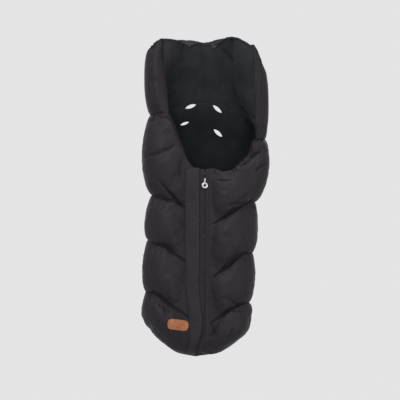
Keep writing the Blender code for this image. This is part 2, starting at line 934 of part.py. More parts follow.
# Leather label: a flat tab that lies against the highest points of the lowest puff
def leather_label():
    outline = turned(rounded_box(label_width, label_height, label_corner), -label_tilt, label_x, label_z)
    tree = surface_tree(left_shell)
    half_x, half_z = 0.5 * label_width, 0.5 * label_height
    start = parting_y - 2.0 * (front_depth + front_puff)
    far_x = surface_y(tree, label_x + half_x, label_z, start, 1.0)
    near_x = surface_y(tree, label_x - half_x, label_z, start, 1.0)
    high = surface_y(tree, label_x, label_z + half_z, start, 1.0)
    low = surface_y(tree, label_x, label_z - half_z, start, 1.0)
    slope_x = (far_x - near_x) / label_width
    slope_z = (high - low) / label_height

    def rise(x, z):
        return slope_x * (x - label_x) + slope_z * (z - label_z)

    seat = 0.0
    for ring in range(4 * arc_steps):
        share = 1.0 - ring / (4 * arc_steps)
        for x, z in outline:
            px, pz = label_x + (x - label_x) * share, label_z + (z - label_z) * share
            seat = min(seat, surface_y(tree, px, pz, start, 1.0) - rise(px, pz))
    bm = bmesh.new()
    face = bm.faces.new([bm.verts.new((x, seat - clearance + rise(x, z), z)) for x, z in outline])
    made = bmesh.ops.extrude_face_region(bm, geom=[face], use_keep_orig=True)
    moved = [item for item in made["geom"] if isinstance(item, bmesh.types.BMVert)]
    bmesh.ops.translate(bm, verts=moved, vec=(0.0, -label_thickness, 0.0))
    return solid_object("leather_label", bm, tan_leather)


label = leather_label()


# Elastic casings: a tube along an edge, with the elastic in its bore
def lofted_tube(name, path, radius, bore, look):
    bm = bmesh.new()
    rings = []
    for size in (radius, bore):
        for index, point in enumerate(path):
            before = path[max(index - 1, 0)]
            after = path[min(index + 1, len(path) - 1)]
            along = (after - before).normalized()
            across = along.cross(Vector((0.0, 1.0, 0.0))).normalized()
            level = across.cross(along)
            ring = []
            for step in range(tube_sides):
                angle = 2.0 * math.pi * (step + 0.5) / tube_sides
                ring.append(bm.verts.new(point + size * (math.cos(angle) * across + math.sin(angle) * level)))
            rings.append(ring)
        if bore == 0.0:
            break
    count = len(path)
    for start in range(0, len(rings), count):
        for index in range(start, start + count - 1):
            for step in range(tube_sides):
                nxt = (step + 1) % tube_sides
                bm.faces.new((rings[index][step], rings[index][nxt], rings[index + 1][nxt], rings[index + 1][step]))
    if bore == 0.0:
        bm.faces.new(rings[0])
        bm.faces.new(rings[-1])
    else:
        for outer, inner in ((rings[0], rings[count]), (rings[count - 1], rings[-1])):
            for step in range(tube_sides):
                nxt = (step + 1) % tube_sides
                bm.faces.new((outer[step], outer[nxt], inner[nxt], inner[step]))
    return solid_object(name, bm, look)


# Path over an edge: above the highest of its layers by a lift
def over_edge(points, lift):
    lifted = []
    for index, point in enumerate(points):
        before = points[max(index - 1, 0)]
        after = points[min(index + 1, len(points) - 1)]
        normals = []
        for a, b in ((before, point), (point, after)):
            if (b - a).length > 0.0:
                normals.append(Vector((a.z - b.z, 0.0, b.x - a.x)).normalized())
        bend = sum(normals, Vector()).normalized()
        lifted.append(point + bend * lift / bend.dot(normals[0]))
    return lifted


# Height of an edge line at a place across
def line_z(line, x):
    for a, b in zip(line, line[1:]):
        if min(a.x, b.x) <= x <= max(a.x, b.x):
            return a.z + (b.z - a.z) * (x - a.x) / (b.x - a.x)
    return min(point.z for point in line)


def edge_points(point_on, first, last, columns, depths):
    lines = []
    for inset, quilted in depths:
        lines.append([point_on(column / columns, inset, quilted) for column in range(columns + 1)])
    points = []
    for column in range(first, last + 1):
        place = lines[-1][column]
        top = max(line_z(line, place.x) for line in lines)
        points.append(Vector((place.x, lines[1][column].y, top)))
    return points


layer_depths = ((0.0, True), (shell_wall, False), (lining_outer, False), (lining_inner, False))


def casings():
    hood_edge = edge_points(
        lambda place, inset, quilted: hood_point(hood_table[0], place, inset, quilted),
        *hood_casing_columns,
        hood_columns,
        layer_depths,
    )
    neck_edge = edge_points(
        lambda place, inset, quilted: front_point(1, wall_rows[0], place, inset, quilted),
        *neck_casing_columns,
        front_columns,
        layer_depths,
    )
    lift = casing_radius + 2.0 * clearance
    hood_path = over_edge(hood_edge, lift)
    neck_path = over_edge(list(reversed(neck_edge)), lift - neck_casing_seat)
    lofted_tube("hood_casing", hood_path, casing_radius, casing_bore_radius, nylon)
    lofted_tube("hood_elastic", hood_path, elastic_radius, 0.0, elastic)
    neck = lofted_tube("neck_casing", neck_path, casing_radius, casing_bore_radius, nylon)
    return [neck, lofted_tube("neck_elastic", neck_path, elastic_radius, 0.0, elastic)]


neck_pieces = casings()


# Joints: an empty on each joint's line holds the pieces that move on it
def joint(name, place, direction, pieces):
    empty = bpy.data.objects.new(name, None)
    empty.empty_display_type = "SINGLE_ARROW"
    empty.empty_display_size = joint_mark_size
    empty.rotation_mode = "QUATERNION"
    empty.rotation_quaternion = direction.to_track_quat("Z", "Y")
    empty.location = place
    bpy.context.collection.objects.link(empty)
    back_again = Matrix.LocRotScale(place, empty.rotation_quaternion, None).inverted()
    for piece in pieces:
        piece.parent = empty
        piece.matrix_parent_inverse = back_again
    return empty


def joints():
    puller_axis = Vector((0.0, pull_axis_y, pull_axis_z))
    puller_swing = joint("puller_swing", puller_axis, Vector((-1.0, 0.0, 0.0)), [puller])
    slide_line = Vector((0.0, teeth_y, slider_top_z))
    joint("zip_slide", slide_line, Vector((0.0, 0.0, -1.0)), [slider, bridge, puller_swing])
    fold_x = -(zip_edge + clearance)
    fold_y = parting_y - front_depth - seam_loft - flap_thickness - 2.0 * clearance
    fold_line = Vector((fold_x, fold_y, 0.5 * (flap_top_z + flap_bottom_z)))
    flap_fold = joint("flap_fold", fold_line, Vector((0.0, 0.0, 1.0)), [flap])
    left_line = Vector((-left_hinge_share * left_half_width, parting_y, left_hinge_z))
    left_pieces = [left_shell, left_lining, *left_zip, label, flap_fold]
    joint("front_left_open", left_line, Vector((0.0, 0.0, -1.0)), left_pieces)
    high, low = [
        Vector((share * right_half_width, parting_y, z))
        for share, z in zip(right_hinge_shares, right_hinge_z)
    ]
    right_pieces = [right_shell, right_lining, *right_zip, *neck_pieces]
    joint("front_right_open", high, high - low, right_pieces)


joints()
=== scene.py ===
# Quilted stroller footmuff hanging upright, front to -Y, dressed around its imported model
import math

import bmesh
import bpy
import numpy as np
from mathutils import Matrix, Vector
from mathutils.bvhtree import BVHTree


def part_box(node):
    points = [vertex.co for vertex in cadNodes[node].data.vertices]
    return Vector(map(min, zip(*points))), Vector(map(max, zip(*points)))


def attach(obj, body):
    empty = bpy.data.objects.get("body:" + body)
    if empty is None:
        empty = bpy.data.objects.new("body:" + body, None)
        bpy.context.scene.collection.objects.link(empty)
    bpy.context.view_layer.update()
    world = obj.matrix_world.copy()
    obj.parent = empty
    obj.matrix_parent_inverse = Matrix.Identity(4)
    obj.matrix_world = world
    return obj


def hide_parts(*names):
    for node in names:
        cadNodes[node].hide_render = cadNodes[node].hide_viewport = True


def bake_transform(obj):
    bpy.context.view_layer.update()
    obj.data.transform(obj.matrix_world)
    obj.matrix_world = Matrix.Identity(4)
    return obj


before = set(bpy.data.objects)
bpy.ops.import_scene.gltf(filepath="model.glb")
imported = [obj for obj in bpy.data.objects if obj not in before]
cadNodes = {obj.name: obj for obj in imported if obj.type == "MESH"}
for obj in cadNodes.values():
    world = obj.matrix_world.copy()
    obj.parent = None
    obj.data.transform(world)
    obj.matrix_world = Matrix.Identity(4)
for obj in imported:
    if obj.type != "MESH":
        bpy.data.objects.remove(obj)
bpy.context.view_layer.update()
scene = bpy.context.scene
sides = ((-1, "left"), (1, "right"))

# The bag's form, as in the frame: lengths in metres, tables run from the side to the zip
bag = {
    "partingY": -0.0895,
    "frontDepth": 0.062,
    "backDepth": 0.038,
    "frontRound": 2.6,
    "backRound": 4.5,
    "backFlat": 0.054,
    "backGap": 0.0003,
    "thinnest": 0.0001,
    "footPower": 4.0,
    "footLimit": 0.995,
    "seamLoft": 0.003,
    "frontPuff": 0.026,
    "marginEase": {-1: 0.040, 1: 0.050},
    "backPuff": 0.020,
    "sideSwell": 0.030,
    "sideEase": 3.0,
    "neckFill": 0.35,
    "neckEase": 4.0,
    "puffPower": 0.54,
    "puffLow": 1.12,
    "zipEdge": 0.0163,
    "rightEdge": 0.0138,
    "flapWidth": 0.046,
    "rightMargin": 0.0012,
    "marginGap": 0.0009,
    "swayFrom": -0.846,
    "swayTo": -0.937,
    "sway": -0.024,
    "seamDip": 0.25,
}
footChannel = 3
hoodSeam = {"middleZ": -0.125, "drop": [(0, 0), (0.4, 0.12), (0.8, 0.50), (1, 1)]}
bagSides = {
    -1: {
        "width": [0.1663, 0.1630, 0.1760, 0.1830, 0.1980],
        "swell": [1.05, 0.55, 0.50, 0.12],
        "sideZ": [-0.180, -0.433, -0.575, -0.738, -0.816],
        "middleZ": [-0.352, -0.497, -0.683, -0.842, -0.939],
        "neck": [(0, 0), (0.34, 0), (0.49, 0.30), (0.74, 0.85), (0.87, 1), (1, 1)],
        "seams": [
            [],
            [(0, 0), (0.31, 0.24), (0.48, 0.26), (0.67, 0.60), (1, 1)],
            [(0, 0), (0.12, 0.10), (0.36, 0.20), (0.53, 0.41), (0.70, 0.60), (1, 1)],
            [(0, 0), (0.20, 0.07), (0.40, 0.33), (0.77, 0.73), (1, 1)],
        ],
        "rim": [
            (0, 0.92), (0.10, 0.985), (0.18, 0.95), (0.242, 0.85), (0.299, 0.77), (0.356, 0.86),
            (0.426, 0.99), (0.526, 1.07), (0.622, 1.11), (0.70, 1.13), (0.76, 1.07), (0.81, 0.95),
            (0.866, 0.98), (0.923, 0.88), (0.96, 0.76), (1, 0.60),
        ],
        "foot": [
            (0, 0), (0.061, 0.20), (0.139, 0.31), (0.198, 0.407), (0.388, 0.600), (0.482, 0.687),
            (0.618, 0.807), (0.711, 0.886), (0.781, 0.922), (0.884, 0.968), (1, 1),
        ],
    },
    1: {
        "width": [0.1867, 0.1545, 0.1469, 0.1365, 0.1425],
        "swell": [0.95, 0.48, 0.48, 0.25],
        "sideZ": [-0.258, -0.455, -0.616, -0.772, -0.820],
        "middleZ": [-0.352, -0.530, -0.703, -0.843, -0.9345],
        "neck": [(0, 0), (0.16, 0.06), (0.24, 0.50), (0.58, 1.06), (0.75, 1.12), (0.9, 1.02), (1, 1)],
        "seams": [
            [],
            [(0, 0), (0.13, 0.0), (0.55, 0.48), (1, 1)],
            [(0, 0), (0.21, 0.02), (0.58, 0.46), (0.94, 0.87), (1, 1)],
            [(0, 0), (0.25, 0.08), (0.62, 0.44), (0.95, 0.87), (1, 1)],
        ],
        "rim": [
            (0, 0.93), (0.083, 0.88), (0.131, 0.69), (0.18, 0.73), (0.229, 0.93), (0.276, 1.05),
            (0.325, 1.17), (0.373, 1.24), (0.421, 1.25), (0.47, 1.28), (0.518, 1.235), (0.566, 1.17),
            (0.614, 1.07), (0.678, 0.96), (0.72, 0.86), (0.76, 0.72), (0.82, 0.70), (0.855, 0.60),
            (0.885, 0.32), (0.92, -0.04), (0.957, -0.43), (1, -0.78),
        ],
        "foot": [
            (0, 0), (0.01, 0.16), (0.036, 0.297), (0.068, 0.408), (0.124, 0.513), (0.2, 0.61),
            (0.322, 0.745), (0.455, 0.85), (0.556, 0.917), (0.76, 0.975), (1, 1),
        ],
    },
}


def smooth(value):
    value = min(max(value, 0.0), 1.0)
    return value * value * (3.0 - 2.0 * value)


# The value at a place in a table, straight between its points
def fromTable(table, place):
    for (a, low), (b, high) in zip(table, table[1:]):
        if place <= b:
            return low + (high - low) * (place - a) / (b - a)
    return table[-1][1]


# The same, but rounded through the points
def fromCurve(table, place):
    last = len(table) - 1
    index = 0
    while index < last - 1 and place > table[index + 1][0]:
        index += 1
    (a, low), (b, high) = table[index], table[index + 1]
    before = table[max(index - 1, 0)]
    after = table[min(index + 2, last)]
    slopeLow = (high - before[1]) / (b - before[0])
    slopeHigh = (after[1] - low) / (after[0] - a)
    step = b - a
    way = min(max((place - a) / step, 0.0), 1.0)
    square, cube = way * way, way ** 3
    return ((2 * cube - 3 * square + 1) * low + (cube - 2 * square + way) * step * slopeLow
            + (3 * square - 2 * cube) * high + (cube - square) * step * slopeHigh)


def puffShare(share):
    return math.sin(math.pi * min(max(share, 0.0), 1.0) ** bag["puffLow"]) ** bag["puffPower"]


def halfWidth(side, channel, share):
    widths = bagSides[side]["width"]
    return widths[channel] + (widths[channel + 1] - widths[channel]) * share


def shareAcross(x, width):
    return min(max(1.0 - (abs(x) - bag["zipEdge"]) / (width - bag["zipEdge"]), 0.0), 1.0)


def footZ(side, across):
    form = bagSides[side]
    drop = fromCurve(form["foot"], across)
    return form["sideZ"][-1] + (form["middleZ"][-1] - form["sideZ"][-1]) * drop


def frontSeamZ(side, seam, across):
    form = bagSides[side]
    if seam == footChannel + 1:
        return footZ(side, across)
    table = form["neck"] if seam == 0 else form["seams"][seam]
    return form["sideZ"][seam] + (form["middleZ"][seam] - form["sideZ"][seam]) * fromTable(table, across)


def hoodSeamZ(side, x, width):
    drop = fromTable(hoodSeam["drop"], min(abs(x) / width, 1.0))
    return hoodSeam["middleZ"] + (bagSides[side]["sideZ"][0] - hoodSeam["middleZ"]) * drop


def backSeamZ(side, seam, x, width):
    form = bagSides[side]
    across = shareAcross(x, width)
    if seam == 0:
        return hoodSeamZ(side, x, width)
    if seam == footChannel + 1:
        return footZ(side, across)
    middle = 0.5 * (bagSides[-1]["sideZ"][seam] + bagSides[1]["sideZ"][seam])
    middle += bag["seamDip"] * (form["middleZ"][seam] - form["sideZ"][seam])
    return form["sideZ"][seam] + (middle - form["sideZ"][seam]) * smooth(across)


# Point and outward direction on an oval half section, angle 0 at the side
def section(width, depth, roundness, angle):
    power = 2.0 / roundness
    x = width * max(math.cos(angle), 0.0) ** power
    y = depth * max(math.sin(angle), 0.0) ** power
    steepX = (x / width) ** (roundness - 1.0) / width
    depth = max(depth, bag["thinnest"])
    steepY = (y / depth) ** (roundness - 1.0) / depth
    size = math.hypot(steepX, steepY)
    return x, y, steepX / size, steepY / size


# Share of the bag's depth that is left toward the foot
def fullness(channel, share):
    return math.sqrt(max(1.0 - share ** bag["footPower"], 0.0)) if channel == footChannel else 1.0


def frontAngle(x, width):
    return math.acos(min(x / width, 1.0) ** (bag["frontRound"] / 2.0))


def swayed(x, z, amount=1.0):
    return x + amount * bag["sway"] * smooth((bag["swayFrom"] - z) / (bag["swayFrom"] - bag["swayTo"]))


def zipEdge(side):
    return bag["zipEdge"] if side < 0 else bag["rightEdge"]


def margin(side):
    return zipEdge(side) + (bag["flapWidth"] if side < 0 else bag["rightMargin"]) + bag["marginGap"]


def frontPoint(side, channel, share, place, inset, quilted):
    form = bagSides[side]
    full = fullness(channel, share)
    width = halfWidth(side, channel, share) - inset
    depth = (bag["frontDepth"] - inset) * full
    first = frontAngle(margin(side), width)
    if place <= panel["puffPlace"]:
        angle = first * place / panel["puffPlace"]
    else:
        rest = (place - panel["puffPlace"]) / (1.0 - panel["puffPlace"])
        angle = first + (frontAngle(zipEdge(side), width) - first) * rest
    x, y, outX, outY = section(width, depth, bag["frontRound"], angle)
    across = shareAcross(x, width)
    upper = frontSeamZ(side, channel, across)
    lower = frontSeamZ(side, channel + 1, across) + (inset if channel == footChannel else 0.0)
    z = upper + (lower - upper) * share
    if quilted:
        sideHeight = bag["sideSwell"] * form["swell"][channel]
        taper = smooth((abs(x) - margin(side)) / bag["marginEase"][side])
        inner = bag["frontPuff"] * taper
        height = sideHeight + (inner - sideHeight) * smooth(bag["sideEase"] * across)
        lift = puffShare(share)
        if channel == 0:
            lift = max(lift, bag["neckFill"] * smooth(bag["neckEase"] * across) * (1.0 - share))
        height = bag["seamLoft"] + height * lift
        if place < 1.0:
            x += height * outX * full
        y += height * outY * full
        z -= height * (1.0 - full)
    if place == 1.0:
        x = zipEdge(side)
    return Vector((swayed(side * x, z), bag["partingY"] - y, z))


def backSide(place):
    angle = math.pi * place
    return (-1, angle) if angle <= 0.5 * math.pi else (1, math.pi - angle)


def backPoint(channel, share, place, inset, quilted):
    side, angle = backSide(place)
    full = fullness(channel, share)
    width = halfWidth(side, channel, share) - inset
    x, y, outX, outY = section(width, (bag["backDepth"] - inset) * full, bag["backRound"], angle)
    across = shareAcross(x, width)
    upper = backSeamZ(side, channel, x, width)
    lower = backSeamZ(side, channel + 1, x, width) + (inset if channel == footChannel else 0.0)
    z = upper + (lower - upper) * share
    if quilted:
        sideHeight = bag["sideSwell"] * bagSides[side]["swell"][channel]
        height = sideHeight + (bag["backPuff"] - sideHeight) * smooth(bag["sideEase"] * across)
        height = bag["seamLoft"] + height * puffShare(share)
        x += height * outX * full
        y += height * outY * full
        z -= height * (1.0 - full)
    y = min(y, bag["backFlat"] - bag["backGap"])
    return Vector((swayed(side * x, z), bag["partingY"] + y, z))


# The mouth of the hood: the shell runs from the left lip round the back to the right lip,
# and the lining's sections are seen from above, at shares of the way round and down
hood = {
    "rise": 0.052,
    "leftLip": (0.133, 0.113),
    "rightLip": [(0, 0.150), (0.1, 0.155), (0.25, 0.158), (1, 0.160)],
    "leftSwell": 0.0185,
    "rightSwell": 0.0075,
    "puff": 0.022,
    "thinShare": 0.65,
    "lipPlaces": (0.13, 0.13),
    "columns": 132,
    "rows": 52,
    "liningRows": 44,
    "hemRows": 9,
    "hemRise": 0.006,
    "hemDrop": 0.005,
    "lipRoll": 0.8,
    "lipProud": 0.0025,
    "lipTuck": 0.0045,
    "lipAside": 0.002,
    "ridge": (-0.018, 0.013, 0.006),
    "hemProud": 0.0022,
    "roundReach": 3,
    "lowZ": [
        (0, -0.182), (0.15, -0.182), (0.3, -0.168), (0.5, -0.163),
        (0.7, -0.185), (0.8, -0.215), (0.9, -0.250), (1, -0.258),
    ],
}
hoodPlaces = (0, 0.05, 0.12, 0.20, 0.30, 0.50, 0.62, 0.69, 0.75, 0.785, 0.82, 0.87, 0.93, 1)
hoodInside = {
    0.0: (
        (-0.1335, -0.127), (-0.124, -0.133), (-0.105, -0.130), (-0.086, -0.114), (-0.068, -0.086),
        (0.0, -0.056), (0.036, -0.062), (0.060, -0.092), (0.081, -0.103), (0.0895, -0.086),
        (0.0945, -0.108), (0.107, -0.128), (0.128, -0.139), (0.150, -0.138),
    ),
    0.25: (
        (-0.130, -0.128), (-0.122, -0.130), (-0.108, -0.122), (-0.092, -0.101), (-0.066, -0.070),
        (0.0, -0.052), (0.040, -0.052), (0.065, -0.060), (0.083, -0.072), (0.090, -0.082),
        (0.0945, -0.104), (0.108, -0.127), (0.131, -0.141), (0.156, -0.139),
    ),
    0.60: (
        (-0.120, -0.134), (-0.123, -0.118), (-0.122, -0.094), (-0.108, -0.068), (-0.074, -0.054),
        (0.0, -0.052), (0.050, -0.053), (0.075, -0.058), (0.093, -0.072), (0.099, -0.086),
        (0.104, -0.108), (0.115, -0.128), (0.136, -0.141), (0.159, -0.141),
    ),
    0.80: (
        (-0.116, -0.136), (-0.124, -0.115), (-0.132, -0.088), (-0.118, -0.063), (-0.078, -0.056),
        (0.0, -0.055), (0.060, -0.057), (0.090, -0.062), (0.112, -0.076), (0.124, -0.092),
        (0.132, -0.112), (0.142, -0.130), (0.152, -0.139), (0.160, -0.141),
    ),
    1.0: (
        (-0.112, -0.137), (-0.125, -0.116), (-0.138, -0.089), (-0.122, -0.064), (-0.080, -0.058),
        (0.0, -0.057), (0.065, -0.058), (0.105, -0.063), (0.140, -0.074), (0.155, -0.090),
        (0.162, -0.110), (0.165, -0.124), (0.164, -0.134), (0.162, -0.139),
    ),
}


def lipX(side, share):
    if side < 0:
        return hood["leftLip"][0] + (hood["leftLip"][1] - hood["leftLip"][0]) * share
    return fromTable(hood["rightLip"], share)


def rimZ(x):
    side = -1 if x < 0.0 else 1
    return hood["rise"] * fromCurve(bagSides[side]["rim"], min(abs(x) / halfWidth(side, 0, 0.0), 1.0))


def hoodPoint(share, place):
    leftEnd, rightStart = hood["lipPlaces"][0], 1.0 - hood["lipPlaces"][1]
    onLip = place < leftEnd or place > rightStart
    if onLip:
        side = -1 if place < leftEnd else 1
        along = (leftEnd - place) / leftEnd if side < 0 else (place - rightStart) / (1.0 - rightStart)
        width = halfWidth(side, 0, 0.0)
        angle = along * frontAngle(lipX(side, share), width)
        x, y, outX, outY = section(width, bag["frontDepth"], bag["frontRound"], angle)
        low = bagSides[side]["sideZ"][0]
        fade = math.sqrt(max(1.0 - along ** bag["footPower"], 0.0))
    else:
        side, angle = backSide((place - leftEnd) / (rightStart - leftEnd))
        width = halfWidth(side, 0, 0.0)
        x, y, outX, outY = section(width, bag["backDepth"], bag["backRound"], angle)
        low = hoodSeamZ(side, x, width)
        fade = 1.0
    swell = hood["leftSwell"] if side < 0 else hood["rightSwell"]
    height = swell + (hood["puff"] - swell) * smooth(bag["sideEase"] * (1.0 - x / width))
    lift = puffShare(share) if share > 0.5 else 1.0 - hood["thinShare"] * (1.0 - 2.0 * share) ** 3
    height = bag["seamLoft"] + height * lift * fade
    top = rimZ(side * x)
    z = top + (low - top) * share
    x += height * outX
    y += height * outY
    if onLip:
        y = min(y, bag["frontDepth"] + bag["frontPuff"])
        point = Vector((side * x, bag["partingY"] - y, z))
        edge = hoodInner(share, 0.0 if side < 0 else 1.0)
        edge += Vector((-hood["lipAside"] * side, -hood["lipProud"] if along < 1.0 else hood["lipTuck"], 0.0))
        return point.lerp(edge, smooth((along - hood["lipRoll"]) / (1.0 - hood["lipRoll"])))
    return Vector((side * x, bag["partingY"] + min(y, bag["backFlat"] - bag["backGap"]), z))


# The lining's section at a share of the way down, rounded between its points
def hoodSection(share):
    shares = sorted(hoodInside)
    low = max(s for s in shares if s <= share)
    high = min(s for s in shares if s >= share)
    mix = 0.0 if high == low else (share - low) / (high - low)
    sharp = []
    for column in range(hood["columns"] + 1):
        place = column / hood["columns"]
        ends = []
        for key in (low, high):
            tables = [list(zip(hoodPlaces, values)) for values in zip(*hoodInside[key])]
            ends.append([fromTable(table, place) for table in tables])
        sharp.append([a + (b - a) * mix for a, b in zip(*ends)])
    rounded = []
    for column in range(hood["columns"] + 1):
        reach = min(hood["roundReach"], column, hood["columns"] - column)
        near = sharp[column - reach:column + reach + 1]
        rounded.append([sum(p[axis] for p in near) / len(near) for axis in (0, 1)])
    return rounded


hoodSections = {}


def hoodInner(share, place):
    if share not in hoodSections:
        hoodSections[share] = hoodSection(share)
    column = round(place * hood["columns"])
    x, y = hoodSections[share][column]
    top = rimZ(hoodSections[0.0][column][0])
    z = top + (fromTable(hood["lowZ"], place) - top) * share
    middle, width, height = hood["ridge"]
    y -= height * math.exp(-((x - middle) / width) ** 2)
    return Vector((x, y, z))


hem = {"wide": 0.012, "turn": 0.7}


# From an outer edge over to the inner face: 0 on the outer edge, 1 inside
def turnedIn(outer, inner, share, rise, drop):
    rise *= min((outer - inner).length / hem["wide"], 1.0)
    over = min(share / hem["turn"], 1.0)
    down = max(share - hem["turn"], 0.0) / (1.0 - hem["turn"])
    mixed = outer.lerp(inner, 0.5 - 0.5 * math.cos(math.pi * over))
    mixed.z += rise * math.sin(math.pi * over) - drop * down
    return mixed


def hoodSkin(row, place):
    channel, share = row
    if channel >= 0:
        return hoodPoint(share, place)
    inner = hoodInner(0.0, place)
    inner.y -= hood["hemProud"]
    return turnedIn(hoodPoint(0.0, place), inner, share, hood["hemRise"], hood["hemDrop"])


neckHem = {"rows": 6, "rise": 0.005, "drop": 0.007, "inset": 0.0135}


def frontSkin(side, row, place):
    channel, share = row
    if channel >= 0:
        return frontPoint(side, channel, share, place, 0.0, True)
    outer = frontPoint(side, 0, 0.0, place, 0.0, True)
    inner = frontPoint(side, 0, 0.0, place, neckHem["inset"], False)
    return turnedIn(outer, inner, share, neckHem["rise"], neckHem["drop"])


# The padded shelf where the hood's lining hangs behind the top of the body's
ledge = {
    "line": [
        (-0.166, -0.157), (-0.104, -0.1530), (-0.062, -0.146), (-0.014, -0.1410), (0.015, -0.1380),
        (0.059, -0.148), (0.099, -0.1725), (0.159, -0.1944), (0.182, -0.208),
    ],
    "forward": 0.020,
    "roundness": 0.018,
    "settle": 0.11,
    "settled": 0.8,
    "inset": 0.0115,
    "foldDown": 0.05,
    "foldEase": 2.0,
    "folds": [(-0.045, 0.020, -0.007), (-0.002, 0.014, 0.009), (0.026, 0.010, -0.006), (0.075, 0.030, 0.005)],
}


def backInside(row, place):
    channel, share = row
    side, angle = backSide(place)
    width = halfWidth(side, channel, share) - ledge["inset"]
    full = fullness(channel, share)
    x, y, outX, outY = section(width, (bag["backDepth"] - ledge["inset"]) * full, bag["backRound"], angle)
    across = shareAcross(x, width)
    ledgeTop = fromTable(ledge["line"], side * x)
    upper = ledgeTop if channel == 0 else backSeamZ(side, channel, x, width)
    lower = backSeamZ(side, channel + 1, x, width) + (ledge["inset"] if channel == footChannel else 0.0)
    z = upper + (lower - upper) * share
    below = ledgeTop - z
    rounded = math.sqrt(1.0 - (1.0 - min(below / ledge["roundness"], 1.0)) ** 2)
    kept = 1.0 - ledge["settled"] * smooth((below - ledge["roundness"]) / ledge["settle"])
    forward = ledge["forward"] * rounded * kept * smooth(bag["sideEase"] * across)
    ease = smooth(ledge["foldEase"] * across) * smooth(below / ledge["foldDown"])
    for middle, reach, height in ledge["folds"]:
        forward += height * math.exp(-((side * x - middle) / reach) ** 2) * ease
    return Vector((swayed(side * x, z), bag["partingY"] + y - forward * full, z))


def frontInside(side, row, place):
    channel, share = row
    return frontPoint(side, channel, share, place, ledge["inset"], False)


def finish(name, colour, roughness, metallic=0.0, sheen=0.0, specular=0.5):
    made = bpy.data.materials.new(name)
    made.use_nodes = True
    shader = made.node_tree.nodes["Principled BSDF"]
    shader.inputs["Base Color"].default_value = (*colour, 1.0)
    shader.inputs["Roughness"].default_value = roughness
    shader.inputs["Metallic"].default_value = metallic
    shader.inputs["Specular IOR Level"].default_value = specular
    shader.inputs["Sheen Weight"].default_value = sheen
    shader.inputs["Sheen Roughness"].default_value = 0.5
    return made


def shaderInput(made, name):
    return made.node_tree.nodes["Principled BSDF"].inputs[name]


def addNode(made, kind, **settings):
    node = made.node_tree.nodes.new(kind)
    for name, value in settings.items():
        setattr(node, name, value)
    return node


def join(made, out, into):
    made.node_tree.links.new(out, into)


def coordinates(made, kind="Object", scale=(1.0, 1.0, 1.0)):
    source = addNode(made, "ShaderNodeTexCoord")
    mapping = addNode(made, "ShaderNodeMapping")
    mapping.inputs["Scale"].default_value = scale
    join(made, source.outputs[kind], mapping.inputs["Vector"])
    return mapping.outputs["Vector"]


def noiseOf(made, vector, scale, detail=4.0, roughness=0.55, distortion=0.0):
    node = addNode(made, "ShaderNodeTexNoise")
    node.inputs["Scale"].default_value = scale
    node.inputs["Detail"].default_value = detail
    node.inputs["Roughness"].default_value = roughness
    node.inputs["Distortion"].default_value = distortion
    join(made, vector, node.inputs["Vector"])
    return node.outputs["Fac"]


def waveOf(made, vector, scale, direction):
    node = addNode(made, "ShaderNodeTexWave", bands_direction=direction)
    node.inputs["Scale"].default_value = scale
    join(made, vector, node.inputs["Vector"])
    return node.outputs["Fac"]


# Distance to the nearest of scattered points, or of points in rows
def cellsOf(made, vector, scale, randomness=1.0):
    node = addNode(made, "ShaderNodeTexVoronoi")
    node.inputs["Scale"].default_value = scale
    node.inputs["Randomness"].default_value = randomness
    join(made, vector, node.inputs["Vector"])
    return node.outputs["Distance"]


def mixColours(made, factor, low, high, start=0.3, end=0.7):
    ramp = addNode(made, "ShaderNodeValToRGB")
    ramp.color_ramp.elements[0].position = start
    ramp.color_ramp.elements[0].color = (*low, 1.0)
    ramp.color_ramp.elements[1].position = end
    ramp.color_ramp.elements[1].color = (*high, 1.0)
    join(made, factor, ramp.inputs["Fac"])
    return ramp.outputs["Color"]


def mapValue(made, factor, low, high, start=0.0, end=1.0):
    node = addNode(made, "ShaderNodeMapRange")
    for name, value in (("From Min", start), ("From Max", end), ("To Min", low), ("To Max", high)):
        node.inputs[name].default_value = value
    join(made, factor, node.inputs["Value"])
    return node.outputs["Result"]


# Bump nodes in a chain: height, strength and distance of each
def bumps(made, heights):
    last = None
    for height, strength, distance in heights:
        node = addNode(made, "ShaderNodeBump")
        node.inputs["Strength"].default_value = strength
        node.inputs["Distance"].default_value = distance
        join(made, height, node.inputs["Height"])
        if last:
            join(made, last, node.inputs["Normal"])
        last = node.outputs["Normal"]
    join(made, last, shaderInput(made, "Normal"))


# Each noise below is its scale, detail, roughness and distortion; each bump its strength and depth
# The puffs' nylon and the flap's, which is painted a little lighter: painted light on the flap's flat front
nylonLook = {"dark": (0.0180, 0.0150, 0.0184), "light": (0.0222, 0.0188, 0.0227)}
paintedLightFlapLook = {"dark": (0.0215, 0.0181, 0.0218), "light": (0.0262, 0.0222, 0.0266)}
nylonGrain = {
    "roughness": (0.46, 0.60),
    "specular": 0.2,
    "broad": (9.0, 3.0),
    "fine": (60.0, 5.0),
    "creases": (75.0, 6.0, 0.6, 1.2),
    "creaseStretch": 0.55,
    "creaseBump": (0.22, 0.0014),
    "threads": (1400.0, 2.0),
    "threadBump": (0.25, 0.0002),
    "weave": 420.0,
    "weaveBump": (0.12, 0.0001),
}


